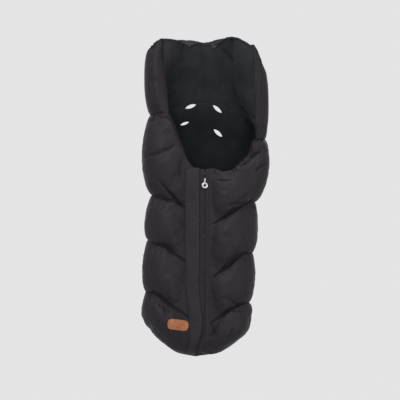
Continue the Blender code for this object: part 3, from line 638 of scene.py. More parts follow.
def nylonMaterial(name, look, uvWeave=True):
    made = finish(name, look["light"], nylonGrain["roughness"][1], specular=nylonGrain["specular"])
    here = coordinates(made)
    broad = noiseOf(made, here, *nylonGrain["broad"])
    join(made, mixColours(made, broad, look["dark"], look["light"]), shaderInput(made, "Base Color"))
    fine = noiseOf(made, here, *nylonGrain["fine"])
    join(made, mapValue(made, fine, *nylonGrain["roughness"]), shaderInput(made, "Roughness"))
    stretched = coordinates(made, scale=(1.0, 1.0, nylonGrain["creaseStretch"]))
    creases = noiseOf(made, stretched, *nylonGrain["creases"])
    threads = noiseOf(made, here, *nylonGrain["threads"])
    heights = [(creases, *nylonGrain["creaseBump"]), (threads, *nylonGrain["threadBump"])]
    if uvWeave:
        for direction in ("X", "Y"):
            weave = waveOf(made, coordinates(made, "UV"), nylonGrain["weave"], direction)
            heights.append((weave, *nylonGrain["weaveBump"]))
    bumps(made, heights)
    return made


# The hood lining's fleece, with lighter tones toward its rim that are a painted highlight from above
fleeceLook = {
    "dark": (0.0185, 0.0200, 0.0225),
    "light": (0.0262, 0.0283, 0.0315),
    "paintedLitDark": (0.0300, 0.0318, 0.0348),
    "paintedLitLight": (0.0390, 0.0410, 0.0445),
}
# The body's lining is a darker copy of the fleece: painted shade inside the bag
paintedShadeFleeceLook = {"dark": (0.0118, 0.0128, 0.0146), "light": (0.0172, 0.0186, 0.0208)}
# Heights over which the painted highlight rises on the hood's lining
paintedTopLight = {"fromZ": -0.055, "toZ": 0.030}
fleeceNap = {
    "roughness": 0.95,
    "sheen": 0.04,
    "specular": 0.06,
    "mottle": (26.0, 4.0, 0.6),
    "tufts": (170.0, 4.0, 0.6),
    "tuftBump": (0.5, 0.0012),
    "fuzz": (900.0, 3.0, 0.7),
    "fuzzBump": (0.5, 0.0005),
}


# How far up a piece is, from 0 at one height to 1 at another
def heightShare(made, here, fromZ, toZ):
    parts = addNode(made, "ShaderNodeSeparateXYZ")
    join(made, here, parts.inputs["Vector"])
    return mapValue(made, parts.outputs["Z"], 0.0, 1.0, fromZ, toZ)


# The hood's lining is painted lighter toward its rim, a painted highlight from the light above
def fleeceMaterial(name, look):
    made = finish(name, look["light"], fleeceNap["roughness"], 0.0, fleeceNap["sheen"], fleeceNap["specular"])
    here = coordinates(made)
    mottle = noiseOf(made, here, *fleeceNap["mottle"])
    tone = mixColours(made, mottle, look["dark"], look["light"])
    # Painted highlight: the lighter tones are mixed in toward the rim
    if "paintedLitDark" in look:
        paintedLitTone = mixColours(made, mottle, look["paintedLitDark"], look["paintedLitLight"])
        mixed = addNode(made, "ShaderNodeMix", data_type="RGBA")
        join(made, heightShare(made, here, paintedTopLight["fromZ"], paintedTopLight["toZ"]), mixed.inputs[0])
        join(made, tone, mixed.inputs[6])
        join(made, paintedLitTone, mixed.inputs[7])
        tone = mixed.outputs[2]
    join(made, tone, shaderInput(made, "Base Color"))
    fuzz = noiseOf(made, here, *fleeceNap["fuzz"])
    tufts = noiseOf(made, here, *fleeceNap["tufts"])
    bumps(made, [(tufts, *fleeceNap["tuftBump"]), (fuzz, *fleeceNap["fuzzBump"])])
    return made


# Ribbed tapes: across and along are each rib's axis and bump
wovenLooks = {
    "zipTape": {
        "dark": (0.0290, 0.0245, 0.0288),
        "light": (0.0390, 0.0333, 0.0386),
        "scale": 176.84,
        "across": ("X", (0.5, 0.00036)),
        "along": ("Z", (0.35, 0.00027)),
        "roughness": 0.72,
    },
    "zipCoil": {
        "dark": (0.008, 0.008, 0.008),
        "light": (0.014, 0.014, 0.014),
        "scale": 132.63,
        "across": ("Z", (0.5, 0.00048)),
        "along": ("X", (0.35, 0.00036)),
        "roughness": 0.38,
    },
    "strapWebbing": {
        "dark": (0.012, 0.012, 0.012),
        "light": (0.022, 0.022, 0.022),
        "scale": 99.474,
        "across": ("Z", (0.5, 0.00064)),
        "along": ("X", (0.35, 0.00048)),
        "roughness": 0.75,
    },
}
woven = {"specular": 0.15, "mottle": (120.0, 3.0)}


def wovenMaterial(name):
    look = wovenLooks[name]
    made = finish(name, look["light"], look["roughness"], specular=woven["specular"])
    here = coordinates(made)
    mottle = noiseOf(made, here, *woven["mottle"])
    join(made, mixColours(made, mottle, look["dark"], look["light"]), shaderInput(made, "Base Color"))
    ribs = (look["across"], look["along"])
    bumps(made, [(waveOf(made, here, look["scale"], axis), *bump) for axis, bump in ribs])
    return made


leatherLook = {
    "dark": (0.36, 0.125, 0.052),
    "middle": (0.43, 0.16, 0.07),
    "light": (0.50, 0.20, 0.095),
    "specular": 0.3,
    "roughness": (0.42, 0.62),
    "mottle": (70.0, 5.0, 0.6),
    "mottleBump": (0.2, 0.0006),
    "pores": 650.0,
    "poreBump": (0.35, 0.0003),
}


def leatherMaterial(name):
    look = leatherLook
    made = finish(name, look["middle"], look["roughness"][0], specular=look["specular"])
    here = coordinates(made)
    tone = noiseOf(made, here, *look["mottle"])
    join(made, mixColours(made, tone, look["dark"], look["light"]), shaderInput(made, "Base Color"))
    pores = cellsOf(made, here, look["pores"])
    join(made, mapValue(made, pores, *look["roughness"]), shaderInput(made, "Roughness"))
    bumps(made, [(pores, *look["poreBump"]), (tone, *look["mottleBump"])])
    return made


metalLooks = {
    "blackMetal": {"colour": (0.030, 0.030, 0.032), "roughness": 0.34, "scratches": (700.0, 5.0, 0.6)},
    "pullerMetal": {"colour": (0.60, 0.60, 0.61), "roughness": 0.24, "scratches": (900.0, 5.0, 0.6)},
}
scratched = {"stretch": 0.2, "smoother": 0.08, "rougher": 0.14, "darker": 0.82, "bump": (0.12, 0.0001)}


def metalMaterial(name):
    look = metalLooks[name]
    colour, roughness = look["colour"], look["roughness"]
    made = finish(name, colour, roughness, metallic=1.0)
    here = coordinates(made, scale=(1.0, 1.0, scratched["stretch"]))
    wear = noiseOf(made, here, *look["scratches"])
    worn = mapValue(made, wear, roughness - scratched["smoother"], roughness + scratched["rougher"])
    join(made, worn, shaderInput(made, "Roughness"))
    tint = mixColours(made, wear, [scratched["darker"] * c for c in colour], colour)
    join(made, tint, shaderInput(made, "Base Color"))
    bumps(made, [(wear, *scratched["bump"])])
    return made


puller = {"brightZ": -0.3830, "darkZ": -0.3800}


# Bright ring and neck below a black coated loop
def pullerMaterial(name):
    made = metalMaterial(name)
    bright, black = metalLooks[name]["colour"], metalLooks["blackMetal"]["colour"]
    up = heightShare(made, coordinates(made), puller["brightZ"], puller["darkZ"])
    join(made, mixColours(made, up, bright, black, 0.0, 1.0), shaderInput(made, "Base Color"))
    return made


gripLook = {
    "middle": (0.020, 0.020, 0.021),
    "cloth": (0.024, 0.024, 0.025),
    "dot": (0.010, 0.010, 0.011),
    "dots": 190.0,
    "dotEdge": (0.22, 0.34),
    "dotBlend": (0.2, 0.8),
    "dotBump": (0.8, 0.0007),
    "roughness": (0.92, 0.45),
    "weave": (900.0, 2.0),
    "weaveBump": (0.3, 0.0003),
}


# Cloth with rubber dots in rows
def gripMaterial(name):
    look = gripLook
    made = finish(name, look["middle"], look["roughness"][0])
    here = coordinates(made)
    dots = mapValue(made, cellsOf(made, here, look["dots"], 0.0), 1.0, 0.0, *look["dotEdge"])
    tint = mixColours(made, dots, look["cloth"], look["dot"], *look["dotBlend"])
    join(made, tint, shaderInput(made, "Base Color"))
    join(made, mapValue(made, dots, *look["roughness"]), shaderInput(made, "Roughness"))
    weave = noiseOf(made, here, *look["weave"])
    bumps(made, [(dots, *look["dotBump"]), (weave, *look["weaveBump"])])
    return made


nylonCloth = nylonMaterial("quiltedNylon", nylonLook)
# The flap's nylon, painted lighter as painted light
plainNylon = nylonMaterial("flapNylon", paintedLightFlapLook, uvWeave=False)
fleeceCloth = fleeceMaterial("blackFleece", fleeceLook)
# The body's lining fleece, painted darker as painted shade
bodyFleece = fleeceMaterial("bodyFleece", paintedShadeFleeceLook)
tapeCloth = wovenMaterial("zipTape")
coilNylon = wovenMaterial("zipCoil")
webCloth = wovenMaterial("strapWebbing")
tanLeather = leatherMaterial("tanLeather")
pullerMetal = pullerMaterial("pullerMetal")
blackMetal = metalMaterial("blackMetal")
gripCloth = gripMaterial("dottedGrip")
print("materials made")

# The quilted panels' and linings' grids
panel = {
    "puffPlace": 0.86,
    "columns": 54,
    "backColumns": 84,
    "rows": [44, 28, 32, 26],
    "shellThick": 0.0016,
    "liningThick": 0.0045,
    "liningRows": [24, 12, 14, 12],
    "liningColumns": 28,
    "liningBackColumns": 70,
}


def channelRows(counts):
    table = []
    for channel, count in enumerate(counts):
        for step in range(count):
            even = step / count
            table.append((channel, 0.5 * even + 0.5 * (0.5 - 0.5 * math.cos(math.pi * even))))
    table.append((len(counts) - 1, 1.0))
    return table


def evenSteps(start, end, count):
    return [start + (end - start) * step / count for step in range(count + 1)]


def withHem(table, rows):
    return [(-1, 1.0 - step / rows) for step in range(rows)] + table


# A grid whose points are worked out from a row of the table and a place from 0 to 1 along it
def gridPiece(name, columns, rowTable, pointOn, material):
    rows = len(rowTable) - 1
    bm = bmesh.new()
    bmesh.ops.create_grid(bm, x_segments=columns, y_segments=rows, size=0.5, calc_uvs=True)
    uvLayer = bm.loops.layers.uv.verify()
    for vert in bm.verts:
        column = round((vert.co.x + 0.5) * columns)
        row = round((vert.co.y + 0.5) * rows)
        vert.co = pointOn(rowTable[row], column / columns)
        vert.index = row * (columns + 1) + column
    bm.verts.sort()
    for face in bm.faces:
        face.smooth = True
        for loop in face.loops:
            column = loop.vert.index % (columns + 1)
            row = loop.vert.index // (columns + 1)
            loop[uvLayer].uv = (column / columns, row / rows)
    piece = pieceFrom(name, bm, material)
    turnFaces(piece)
    return piece


def pieceFrom(name, bm, material):
    mesh = bpy.data.meshes.new(name)
    bm.to_mesh(mesh)
    bm.free()
    mesh.materials.append(material)
    piece = bpy.data.objects.new(name, mesh)
    scene.collection.objects.link(piece)
    return piece


def treeOf(piece):
    mesh = piece.data
    return BVHTree.FromPolygons([v.co for v in mesh.vertices], [p.vertices for p in mesh.polygons])


# A point near each grid and the way its faces look there; left pieces are mirrored
facing = {
    "frontShell": ((0.10, -0.2, -0.6), (0.0, -1.0, 0.0)),
    "backShell": ((0.0, 0.0, -0.5), (0.0, 1.0, 0.0)),
    "hoodShell": ((0.0, 0.0, -0.05), (0.0, 1.0, 0.0)),
    "frontLining": ((0.10, -0.14, -0.6), (0.0, 1.0, 0.0)),
    "backLining": ((0.0, -0.06, -0.5), (0.0, -1.0, 0.0)),
    "hoodLining": ((0.0, -0.05, -0.05), (0.0, -1.0, 0.0)),
    "zipTape": ((0.01, -0.153, -0.6), (0.0, -1.0, 0.0)),
    "wholeFlap": ((-0.04, -0.16, -0.4), (0.0, -1.0, 0.0)),
    "leatherLabel": ((-0.084, -0.2, -0.84), (0.0, -1.0, 0.0)),
    "sideGusset": ((0.5, -0.09, -0.4), (1.0, 0.0, 0.0)),
    "sideGussetLining": ((0.5, -0.09, -0.4), (1.0, 0.0, 0.0)),
}


def turnFaces(piece):
    kind, _, word = piece.name.partition("_")
    mirror = Vector((-1.0 if word == "left" else 1.0, 1.0, 1.0))
    point, direction = [Vector(values) * mirror for values in facing[kind]]
    nearest = min(piece.data.polygons, key=lambda face: (face.center - point).length)
    if nearest.normal.dot(direction) < 0.0:
        piece.data.flip_normals()


# Puts the result of a piece's modifiers in its mesh
def applied(piece):
    graph = bpy.context.evaluated_depsgraph_get()
    made = bpy.data.meshes.new_from_object(piece.evaluated_get(graph))
    old = piece.data
    piece.modifiers.clear()
    piece.data = made
    bpy.data.meshes.remove(old)
    made.name = piece.name


def softened(piece, levels):
    subdivision = piece.modifiers.new("soften", "SUBSURF")
    subdivision.levels = levels
    subdivision.render_levels = levels
    applied(piece)


def thickened(piece, thickness):
    solidify = piece.modifiers.new("thickness", "SOLIDIFY")
    solidify.thickness = thickness
    solidify.offset = -1.0
    solidify.use_even_offset = False
    applied(piece)


cloth = {
    "frames": 20,
    "cap": 0.006,
    "settings": {
        "quality": 6,
        "mass": 0.2,
        "tension_stiffness": 12.0,
        "compression_stiffness": 12.0,
        "shear_stiffness": 4.0,
        "bending_stiffness": 0.25,
        "tension_damping": 8.0,
        "compression_damping": 8.0,
        "bending_damping": 1.0,
        "use_pressure": True,
        "uniform_pressure_force": 2.6,
        "shrink_min": -0.035,
    },
}


# The vertices that stay put: whole rows at the seams, and the columns at both ends
def sewnRows(rowTable, columns, toColumn):
    found = []
    for index, (channel, share) in enumerate(rowTable):
        wholeRow = channel < 0 or share in (0.0, 1.0)
        for column in range(columns + 1):
            if wholeRow or column == 0 or column >= toColumn:
                found.append(index * (columns + 1) + column)
    return found


def addCloth(piece, sewn):
    group = piece.vertex_groups.new(name="sewn")
    group.add(sewn, 1.0, "REPLACE")
    modifier = piece.modifiers.new("inflate", "CLOTH")
    settings = modifier.settings
    settings.vertex_group_mass = "sewn"
    for name, value in cloth["settings"].items():
        setattr(settings, name, value)
    settings.effector_weights.gravity = 0.0
    modifier.collision_settings.use_collision = False
    modifier.point_cache.frame_start = 1
    modifier.point_cache.frame_end = cloth["frames"]


# Runs the cloth, and moves each vertex by its way there, softly capped
def inflate(pieces):
    for frameNumber in range(1, cloth["frames"] + 1):
        scene.frame_set(frameNumber)
    graph = bpy.context.evaluated_depsgraph_get()
    for piece in pieces:
        evaluated = piece.evaluated_get(graph)
        moved = [vert.co.copy() for vert in evaluated.data.vertices]
        piece.modifiers.remove(piece.modifiers["inflate"])
        for vert, there in zip(piece.data.vertices, moved):
            step = there - vert.co
            far = step.length
            if far > 0.0:
                vert.co += step * (cloth["cap"] * math.tanh(far / cloth["cap"]) / far)
    scene.frame_set(1)


# The photograph's plane: its pixels' zero and size, and the camera's x and z and distance
picture = {
    "zeroColumn": 204.8,
    "zeroRow": 57.0,
    "pixel": 0.00314,
    "eye": (-0.0151, -0.449),
    "distance": 8.0,
    "planeY": -0.1515,
}
# Folds: a line in the photograph's pixels, with the fold's depth and width
folds = {
    "left": [
        ([(145.5, 156.6), (158.5, 153.4), (168, 149.6), (176.5, 144.6)], 0.0070, 0.0026),
        ([(157.6, 179.6), (165.5, 188.6), (173.4, 197.3), (184.8, 207.4)], 0.0075, 0.0028),
        ([(165.0, 305.5), (165.6, 312), (167.6, 318.6)], 0.0034, 0.0024),
        ([(169.0, 304.5), (168.4, 311), (167.8, 317)], 0.0026, 0.0022),
        ([(170.5, 329.5), (173, 332.5), (177, 336)], 0.0034, 0.0026),
        ([(152.5, 327.0), (160, 335.5), (168, 343.0)], 0.0022, 0.0036),
        ([(178.5, 128.0), (180.0, 139.0), (183.5, 148.0)], 0.0022, 0.0036),
        ([(182.5, 160.0), (180.5, 168.0), (181.0, 178.0)], 0.0030, 0.0028),
        ([(181.6, 193.0), (180.0, 199.0), (183.4, 204.0)], 0.0026, 0.0026),
    ],
    "right": [
        ([(215.4, 179.6), (222, 180.6), (232.3, 179.9)], 0.0042, 0.0024),
        ([(255.5, 171.4), (260.5, 168.2), (266.3, 163.0)], 0.0050, 0.0026),
        ([(250.5, 157.6), (256.0, 153.9), (262.6, 151.8)], 0.0064, 0.0030),
        ([(241.5, 165.4), (247.0, 161.6), (253.0, 158.8)], 0.0044, 0.0026),
        ([(259.6, 160.8), (263.5, 155.5), (266.8, 149.5)], 0.0036, 0.0024),
        ([(240.0, 201.5), (246.0, 197.0), (251.5, 191.5)], 0.0030, 0.0028),
        ([(218.4, 321.0), (214.0, 329.0), (208.4, 338.5)], 0.0050, 0.0032),
        ([(233.4, 328.0), (231.0, 334.5), (227.6, 341.0)], 0.0040, 0.0028),
        ([(245.7, 305.4), (247.5, 310.7), (248.4, 316.0)], 0.0022, 0.0024),
        ([(210.0, 239.0), (213.2, 240.8), (215.6, 239.8)], 0.0022, 0.0020),
        ([(210.0, 265.8), (213.6, 267.8), (216.6, 265.8)], 0.0022, 0.0020),
        ([(211.0, 293.0), (213.8, 294.6), (216.0, 293.2)], 0.0022, 0.0020),
        ([(208.8, 321.6), (211.5, 326.0), (212.0, 333.0)], 0.0030, 0.0026),
    ],
    "hood": [
        ([(152.2, 43.0), (150.0, 52.0), (149.6, 66.0)], 0.0042, 0.0040),
        ([(150.0, 76.0), (151.5, 90.0), (155.0, 104.0)], 0.0022, 0.0048),
        ([(160.0, 90.0), (160.8, 100.0), (162.4, 110.0)], 0.0018, 0.0040),
        ([(262.3, 66.0), (263.4, 92.0), (262.0, 118.0)], 0.0022, 0.0040),
    ],
    "hoodLining": [
        ([(222.4, 49.8), (227.3, 55.8), (233.2, 63.4)], 0.0080, 0.0036),
        ([(184.6, 44.6), (184.0, 52.0), (181.5, 66.0)], 0.0050, 0.0060),
        ([(206.6, 52.0), (207.0, 72.0), (206.4, 96.0)], 0.0040, 0.0050),
        ([(221.5, 60.0), (221.0, 74.0), (222.5, 90.0)], 0.0050, 0.0060),
        ([(252.6, 62.0), (254.0, 78.0), (253.6, 92.0)], 0.0024, 0.0040),
        ([(238.6, 107.2), (246.5, 113.0), (255.8, 120.8)], 0.0080, 0.0044),
    ],
}
# Rays that leave a seam, in the photograph's pixels: from, to, number, length down and lean
seamGathers = {
    "left": [
        ((152.5, 116.8), (161.5, 118.6), 4, 8.0, -0.5),
        ((153.0, 197.0), (167.0, 202.6), 7, 11.0, -0.45),
        ((150.0, 243.4), (164.0, 249.2), 7, 9.0, -0.35),
        ((147.8, 295.2), (166.0, 302.0), 8, 11.0, -0.15),
        ((172.0, 119.0), (186.0, 154.0), 8, -6.0, 0.9),
        ((150.5, 188.0), (156.5, 192.0), 3, -6.0, -0.2),
    ],
    "right": [
        ((246.0, 205.0), (252.5, 203.4), 3, 6.0, 0.3),
        ((243.0, 255.6), (249.5, 254.8), 3, 5.5, 0.3),
        ((238.0, 306.6), (246.0, 304.8), 4, 6.5, 0.2),
        ((252.5, 139.5), (262.5, 139.0), 4, 8.0, 0.1),
        ((217.0, 176.5), (250.0, 161.0), 10, 6.5, 0.25),
        ((243.0, 299.0), (246.5, 297.0), 2, -6.0, 0.2),
    ],
    "hood": [
        ((151.0, 110.5), (160.0, 111.5), 4, -8.0, 0.15),
        ((256.0, 133.0), (264.0, 133.5), 4, -9.0, 0.1),
    ],
}
gather = {"depth": 0.0026, "width": 0.0024, "uneven": 0.25, "bend": 1.2}
gatherPhases = ((5.1, 0.0), (7.3, 1.0), (3.7, 0.4))
# Stitched lines below the upper three channels, each from this share of the way to the zip
stitched = {
    "depth": 0.0046,
    "width": 0.0022,
    "points": 25,
    "left": (0.55, 0.30, 0.30),
    "right": (0.25, 0.25, 0.25),
}
# Ruffles along an elastic edge: its line in pixels, their spacing, depth and reach
ruffles = {
    "hood": (
        [(150, 46), (160, 41), (185, 42), (205, 43.5), (220, 42), (234, 38), (252, 46)],
        0.0115, 0.0034, 0.012,
    ),
    "right": ([(211, 170.5), (222.6, 174.4), (231.5, 172), (251.6, 156)], 0.0125, 0.0046, 0.014),
    "left": ([(168.0, 112.0), (174.7, 131.5), (186.9, 160.5), (191.0, 167.0)], 0.0105, 0.0012, 0.009),
}
ruffleDrift = ((0.35, 90.0, 0.0), (0.20, 230.0, 1.0))
ruffleHeights = (0.3, 61.0, 2.0)
pressed = {"facing": 1.6, "fade": 0.2, "ends": 0.15, "spread": 0.35, "spreadWidth": 3.5}


def onPlane(line):
    zero = np.array((picture["zeroColumn"], picture["zeroRow"]))
    return (np.array(line) - zero) * picture["pixel"] * (1.0, -1.0)


# Where points appear on the picture's plane
def seenOnPlane(co):
    eye = np.array(picture["eye"])
    scale = picture["distance"] / (picture["distance"] + co[:, 1] - picture["planeY"])
    return eye + (co[:, [0, 2]] - eye) * scale[:, None]


# Each point's distance from a line, its way along it, and the line's length
def alongLine(points, line):
    distance = np.full(len(points), np.inf)
    along = np.zeros(len(points))
    total = 0.0
    for a, b in zip(line, line[1:]):
        length = np.linalg.norm(b - a)
        share = np.clip((points - a) @ (b - a) / length ** 2, 0.0, 1.0)
        away = np.linalg.norm(points - a - share[:, None] * (b - a), axis=1)
        closer = away < distance
        distance[closer] = away[closer]
        along[closer] = total + share[closer] * length
        total += length
    return distance, along, total


# Rays of uneven reach and lean, side by side along a seam
def gatherLines(start, end, count, length, lean):
    uneven = gather["uneven"]
    lines = []
    for index in range(count):
        spaced, reached, leaned = [uneven * math.sin(rate * index + phase) for rate, phase in gatherPhases]
        share = (index + 0.5 + spaced) / count
        px = start[0] + (end[0] - start[0]) * share
        py = start[1] + (end[1] - start[1]) * share
        down = length * (1.0 - uneven + reached)
        aside = (lean + leaned) * abs(down)
        middle = (px + 0.5 * aside, py + 0.5 * down)
        lines.append([(px, py), middle, (px + gather["bend"] * aside, py + down)])
    return lines


# A panel's grooves on the picture's plane: line, depth, width and how strongly each spreads
def groovesOf(word):
    found = [(onPlane(line), depth, width, pressed["spread"]) for line, depth, width in folds.get(word, ())]
    for group in seamGathers.get(word, ()):
        for line in gatherLines(*group):
            found.append((onPlane(line), gather["depth"], gather["width"], 0.0))
    for channel, start in enumerate(stitched.get(word, ())):
        side = -1 if word == "left" else 1
        places = np.linspace(start, 1.0, stitched["points"])
        seam = np.array([frontPoint(side, channel, 1.0, place, 0.0, True) for place in places])
        found.append((seenOnPlane(seam), stitched["depth"], stitched["width"], 0.0))
    return found


def ruffleDepths(plane, line, period, depth, reach):
    distance, along, _ = alongLine(plane, onPlane(line))
    phase = along / period
    for size, rate, start in ruffleDrift:
        phase += size * np.sin(along * rate + start)
    size, rate, start = ruffleHeights
    heights = 1.0 - size + size * np.sin(along * rate + start)
    return depth * (0.5 + 0.5 * np.cos(math.tau * phase)) * heights * np.exp(-(distance / reach) ** 2)


def vertexValues(mesh, kind):
    values = np.empty(len(mesh.vertices) * 3)
    mesh.vertices.foreach_get(kind, values)
    return values.reshape(-1, 3)


# Presses folds, gathers and ruffles into a panel, along its normals
def pressFolds(piece, word):
    co = vertexValues(piece.data, "co")
    normals = vertexValues(piece.data, "normal")
    plane = seenOnPlane(co)
    front = np.clip(-pressed["facing"] * normals[:, 1], 0.0, 1.0)
    inward = np.zeros(len(co))
    for line, depth, width, spread in groovesOf(word):
        distance, along, total = alongLine(plane, line)
        fade = np.minimum(along, total - along) / (pressed["fade"] * total) + pressed["ends"]
        groove = np.exp(-(distance / width) ** 2)
        groove += spread * np.exp(-(distance / (pressed["spreadWidth"] * width)) ** 2)
        inward += depth * groove * np.clip(fade, 0.0, 1.0) * front
    if word in ruffles:
        inward += ruffleDepths(plane, *ruffles[word])
    co -= normals * inward[:, None]
    piece.data.vertices.foreach_set("co", co.reshape(-1))
    piece.data.update()


rowTable = channelRows(panel["rows"])
frontTable = withHem(rowTable, neckHem["rows"])
hoodTable = withHem(channelRows([hood["rows"]]), hood["hemRows"])
shells = {}
for side, word in sides:
    shells[word] = gridPiece(
        "frontShell_" + word,
        panel["columns"],
        frontTable,
        lambda row, place: frontSkin(side, row, place),
        nylonCloth,
    )
shells["back"] = gridPiece(
    "backShell",
    panel["backColumns"],
    rowTable,
    lambda row, place: backPoint(row[0], row[1], place, 0.0, True),
    nylonCloth,
)
shells["hood"] = gridPiece("hoodShell", hood["columns"], hoodTable, hoodSkin, nylonCloth)
marginColumn = round(panel["puffPlace"] * panel["columns"])
addCloth(shells["left"], sewnRows(frontTable, panel["columns"], marginColumn))
addCloth(shells["right"], sewnRows(frontTable, panel["columns"], marginColumn))
addCloth(shells["back"], sewnRows(rowTable, panel["backColumns"], panel["backColumns"]))
addCloth(shells["hood"], sewnRows(hoodTable, hood["columns"], hood["columns"]))
inflate(shells.values())
for word, piece in shells.items():
    softened(piece, 1)
    pressFolds(piece, word)
print("quilted shells made")

liningTable = channelRows(panel["liningRows"])
linings = {}
for side, word in sides:
    linings[word] = gridPiece(
        "frontLining_" + word,
        panel["liningColumns"],
        liningTable,
        lambda row, place: frontInside(side, row, place),
        bodyFleece,
    )
linings["back"] = gridPiece("backLining", panel["liningBackColumns"], liningTable, backInside, bodyFleece)
linings["hood"] = gridPiece(
    "hoodLining",
    hood["columns"],
    channelRows([hood["liningRows"]]),
    lambda row, place: hoodInner(row[1], place),
    fleeceCloth,
)
for word, piece in linings.items():
    softened(piece, 1)
    pressFolds(piece, word + "Lining")
    thickened(piece, panel["liningThick"])
for piece in shells.values():
    thickened(piece, panel["shellThick"])
print("linings made")

# Harness slots, cut where the frame's bindings are, as gaping lens shapes
slots = {
    "upper_left": {"length": 0.037, "height": 0.0125, "slant": 20.0},
    "upper_right": {"length": 0.038, "height": 0.0125, "slant": -42.0},
    "lower_left": {"length": 0.030, "height": 0.0095, "slant": 20.0},
    "lower_right": {"length": 0.036, "height": 0.0125, "slant": -42.0},
    "crotch": {"length": 0.048, "height": 0.0100, "slant": 0.0},
}
slotCut = {"from": -0.14, "deep": 0.15, "sharpness": 0.8, "sides": 28}


# A place on a flat shape, turned about the shape's middle
def turnedPlace(across, up, degrees):
    angle = math.radians(degrees)
    return across * math.cos(angle) - up * math.sin(angle), across * math.sin(angle) + up * math.cos(angle)


def slotCutter(name, form):
    low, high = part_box(name + "_slot_binding")
    centre = 0.5 * (Vector(low) + Vector(high))
    bm = bmesh.new()
    made = bmesh.ops.create_circle(bm, cap_ends=True, segments=slotCut["sides"], radius=1.0)
    for vert in made["verts"]:
        across, up = vert.co.x, vert.co.y
        thick = max(1.0 - across * across, 0.0) ** (slotCut["sharpness"] - 0.5)
        across *= 0.5 * form["length"]
        up *= 0.5 * form["height"] * thick
        x, z = turnedPlace(across, up, form["slant"])
        vert.co = (centre.x + x, slotCut["from"], centre.z + z)
    extruded = bmesh.ops.extrude_face_region(bm, geom=bm.faces[:], use_keep_orig=True)
    moved = [item for item in extruded["geom"] if isinstance(item, bmesh.types.BMVert)]
    bmesh.ops.translate(bm, verts=moved, vec=(0.0, slotCut["deep"], 0.0))
    bmesh.ops.recalc_face_normals(bm, faces=bm.faces[:])
    return pieceFrom(name + "Cutter", bm, nylonCloth)


def cutSlots():
    cutters = [slotCutter(name, form) for name, form in slots.items()]
    for piece in (shells["back"], shells["hood"], linings["back"], linings["hood"]):
        for cutter in cutters:
            modifier = piece.modifiers.new("slot", "BOOLEAN")
            modifier.operation = "DIFFERENCE"
            modifier.solver = "EXACT"
            modifier.object = cutter
        applied(piece)
    for cutter in cutters:
        bpy.data.meshes.remove(cutter.data)


cutSlots()
print("harness slots cut")

# How the bag opens: the front turns away from a line above the foot, which stays closed.
# The side seams run up at seamX.
opening = {"start": 0.108, "length": 0.19, "seamX": 0.19}


# The foot seam's end at the zip, and the direction up from the seam
def footSeam(side):
    tip = Vector((side * bag["zipEdge"], 0.0, footZ(side, 1.0)))
    corner = Vector((side * halfWidth(side, footChannel, 1.0), 0.0, footZ(side, 0.0)))
    along = (tip - corner).normalized()
    return tip, Vector((-side * abs(along.z), 0.0, abs(along.x)))


def openBlend(piece, side):
    tip, up = footSeam(side)
    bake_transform(piece)


# Share of the foot's depth left at a height along the zip
def footFullness(side, z):
    upper, lower = bagSides[side]["middleZ"][-2:]
    share = (upper - z) / (upper - lower)
    return fullness(footChannel, min(max(share, 0.0), bag["footLimit"]))


tape = {
    "topZ": -0.352,
    "outer": 0.0185,
    "inner": 0.0002,
    "partedInner": 0.0026,
    "partedZ": -0.366,
    "partedEase": 0.004,
    "tuck": 0.0012,
    "thick": 0.0010,
    "bead": 0.0022,
    "beadAt": 0.0032,
    "beadWidth": 0.0027,
    "hemAt": 0.0112,
    "hemWidth": 0.0011,
    "hemDepth": 0.0006,
    "columns": 40,
    "rows": 150,
    "footZ": {-1: -0.9430, 1: -0.9420},
    "footRise": 0.006,
}


def tapePoint(side, row, place):
    footEnd = tape["footZ"][side] + tape["footRise"] * (1.0 - place) ** 2
    z = tape["topZ"] + (footEnd - tape["topZ"]) * row
    parted = smooth((z - tape["partedZ"]) / tape["partedEase"])
    inner = tape["inner"] + (tape["partedInner"] - tape["inner"]) * parted
    outer = tape["outer"] if side < 0 else bag["rightEdge"] + tape["tuck"]
    x = outer + (inner - outer) * place
    bead = tape["bead"] * math.sqrt(max(1.0 - ((x - tape["beadAt"]) / tape["beadWidth"]) ** 2, 0.0))
    stitch = tape["hemDepth"] * math.exp(-((x - tape["hemAt"]) / tape["hemWidth"]) ** 2)
    y = bag["frontDepth"] * footFullness(side, z) + tape["thick"] + bead * (1.0 - parted) - stitch
    return Vector((swayed(side * x, z), bag["partingY"] - y, z))


def makeTapes():
    for side, word in sides:
        piece = gridPiece(
            "zipTape_" + word,
            tape["columns"],
            evenSteps(0.0, 1.0, tape["rows"]),
            lambda row, place: tapePoint(side, row, place),
            tapeCloth,
        )
        thickened(piece, tape["thick"])
        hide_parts("zip_tape_" + word)
        openBlend(piece, side)


makeTapes()

# Storm flap: edges across by height, from its free left edge to its seam by the zip
flap = {
    "freeEdge": [
        (-0.950, -0.0370), (-0.933, -0.0368), (-0.904, -0.0345), (-0.880, -0.0405), (-0.853, -0.0474),
        (-0.813, -0.0509), (-0.740, -0.0580), (-0.660, -0.0617), (-0.350, -0.0621),
    ],
    "seamEdge": [
        (-0.950, -0.0077), (-0.9135, -0.0060), (-0.889, -0.0066), (-0.8585, -0.0092),
        (-0.8246, -0.0075), (-0.785, -0.0132), (-0.740, -0.0176), (-0.7065, -0.0200),
        (-0.680, -0.0172), (-0.640, -0.0166), (-0.350, -0.0166),
    ],
    "topZ": -0.3505,
    "splitZ": -0.640,
    "footZ": -0.9425,
    "footRise": 0.009,
    "corner": 0.013,
    "thick": 0.0030,
    "crown": 0.0030,
    "crownPower": 0.7,
    "ripple": (0.0048, 46.0, 2.5),
    "gap": 0.0008,
    "foldFrom": 0.02,
    "foldTo": 0.13,
    "stitchAt": 0.0042,
    "stitchWidth": 0.0013,
    "stitchDepth": 0.0011,
    "columns": 34,
    "rows": 150,
}
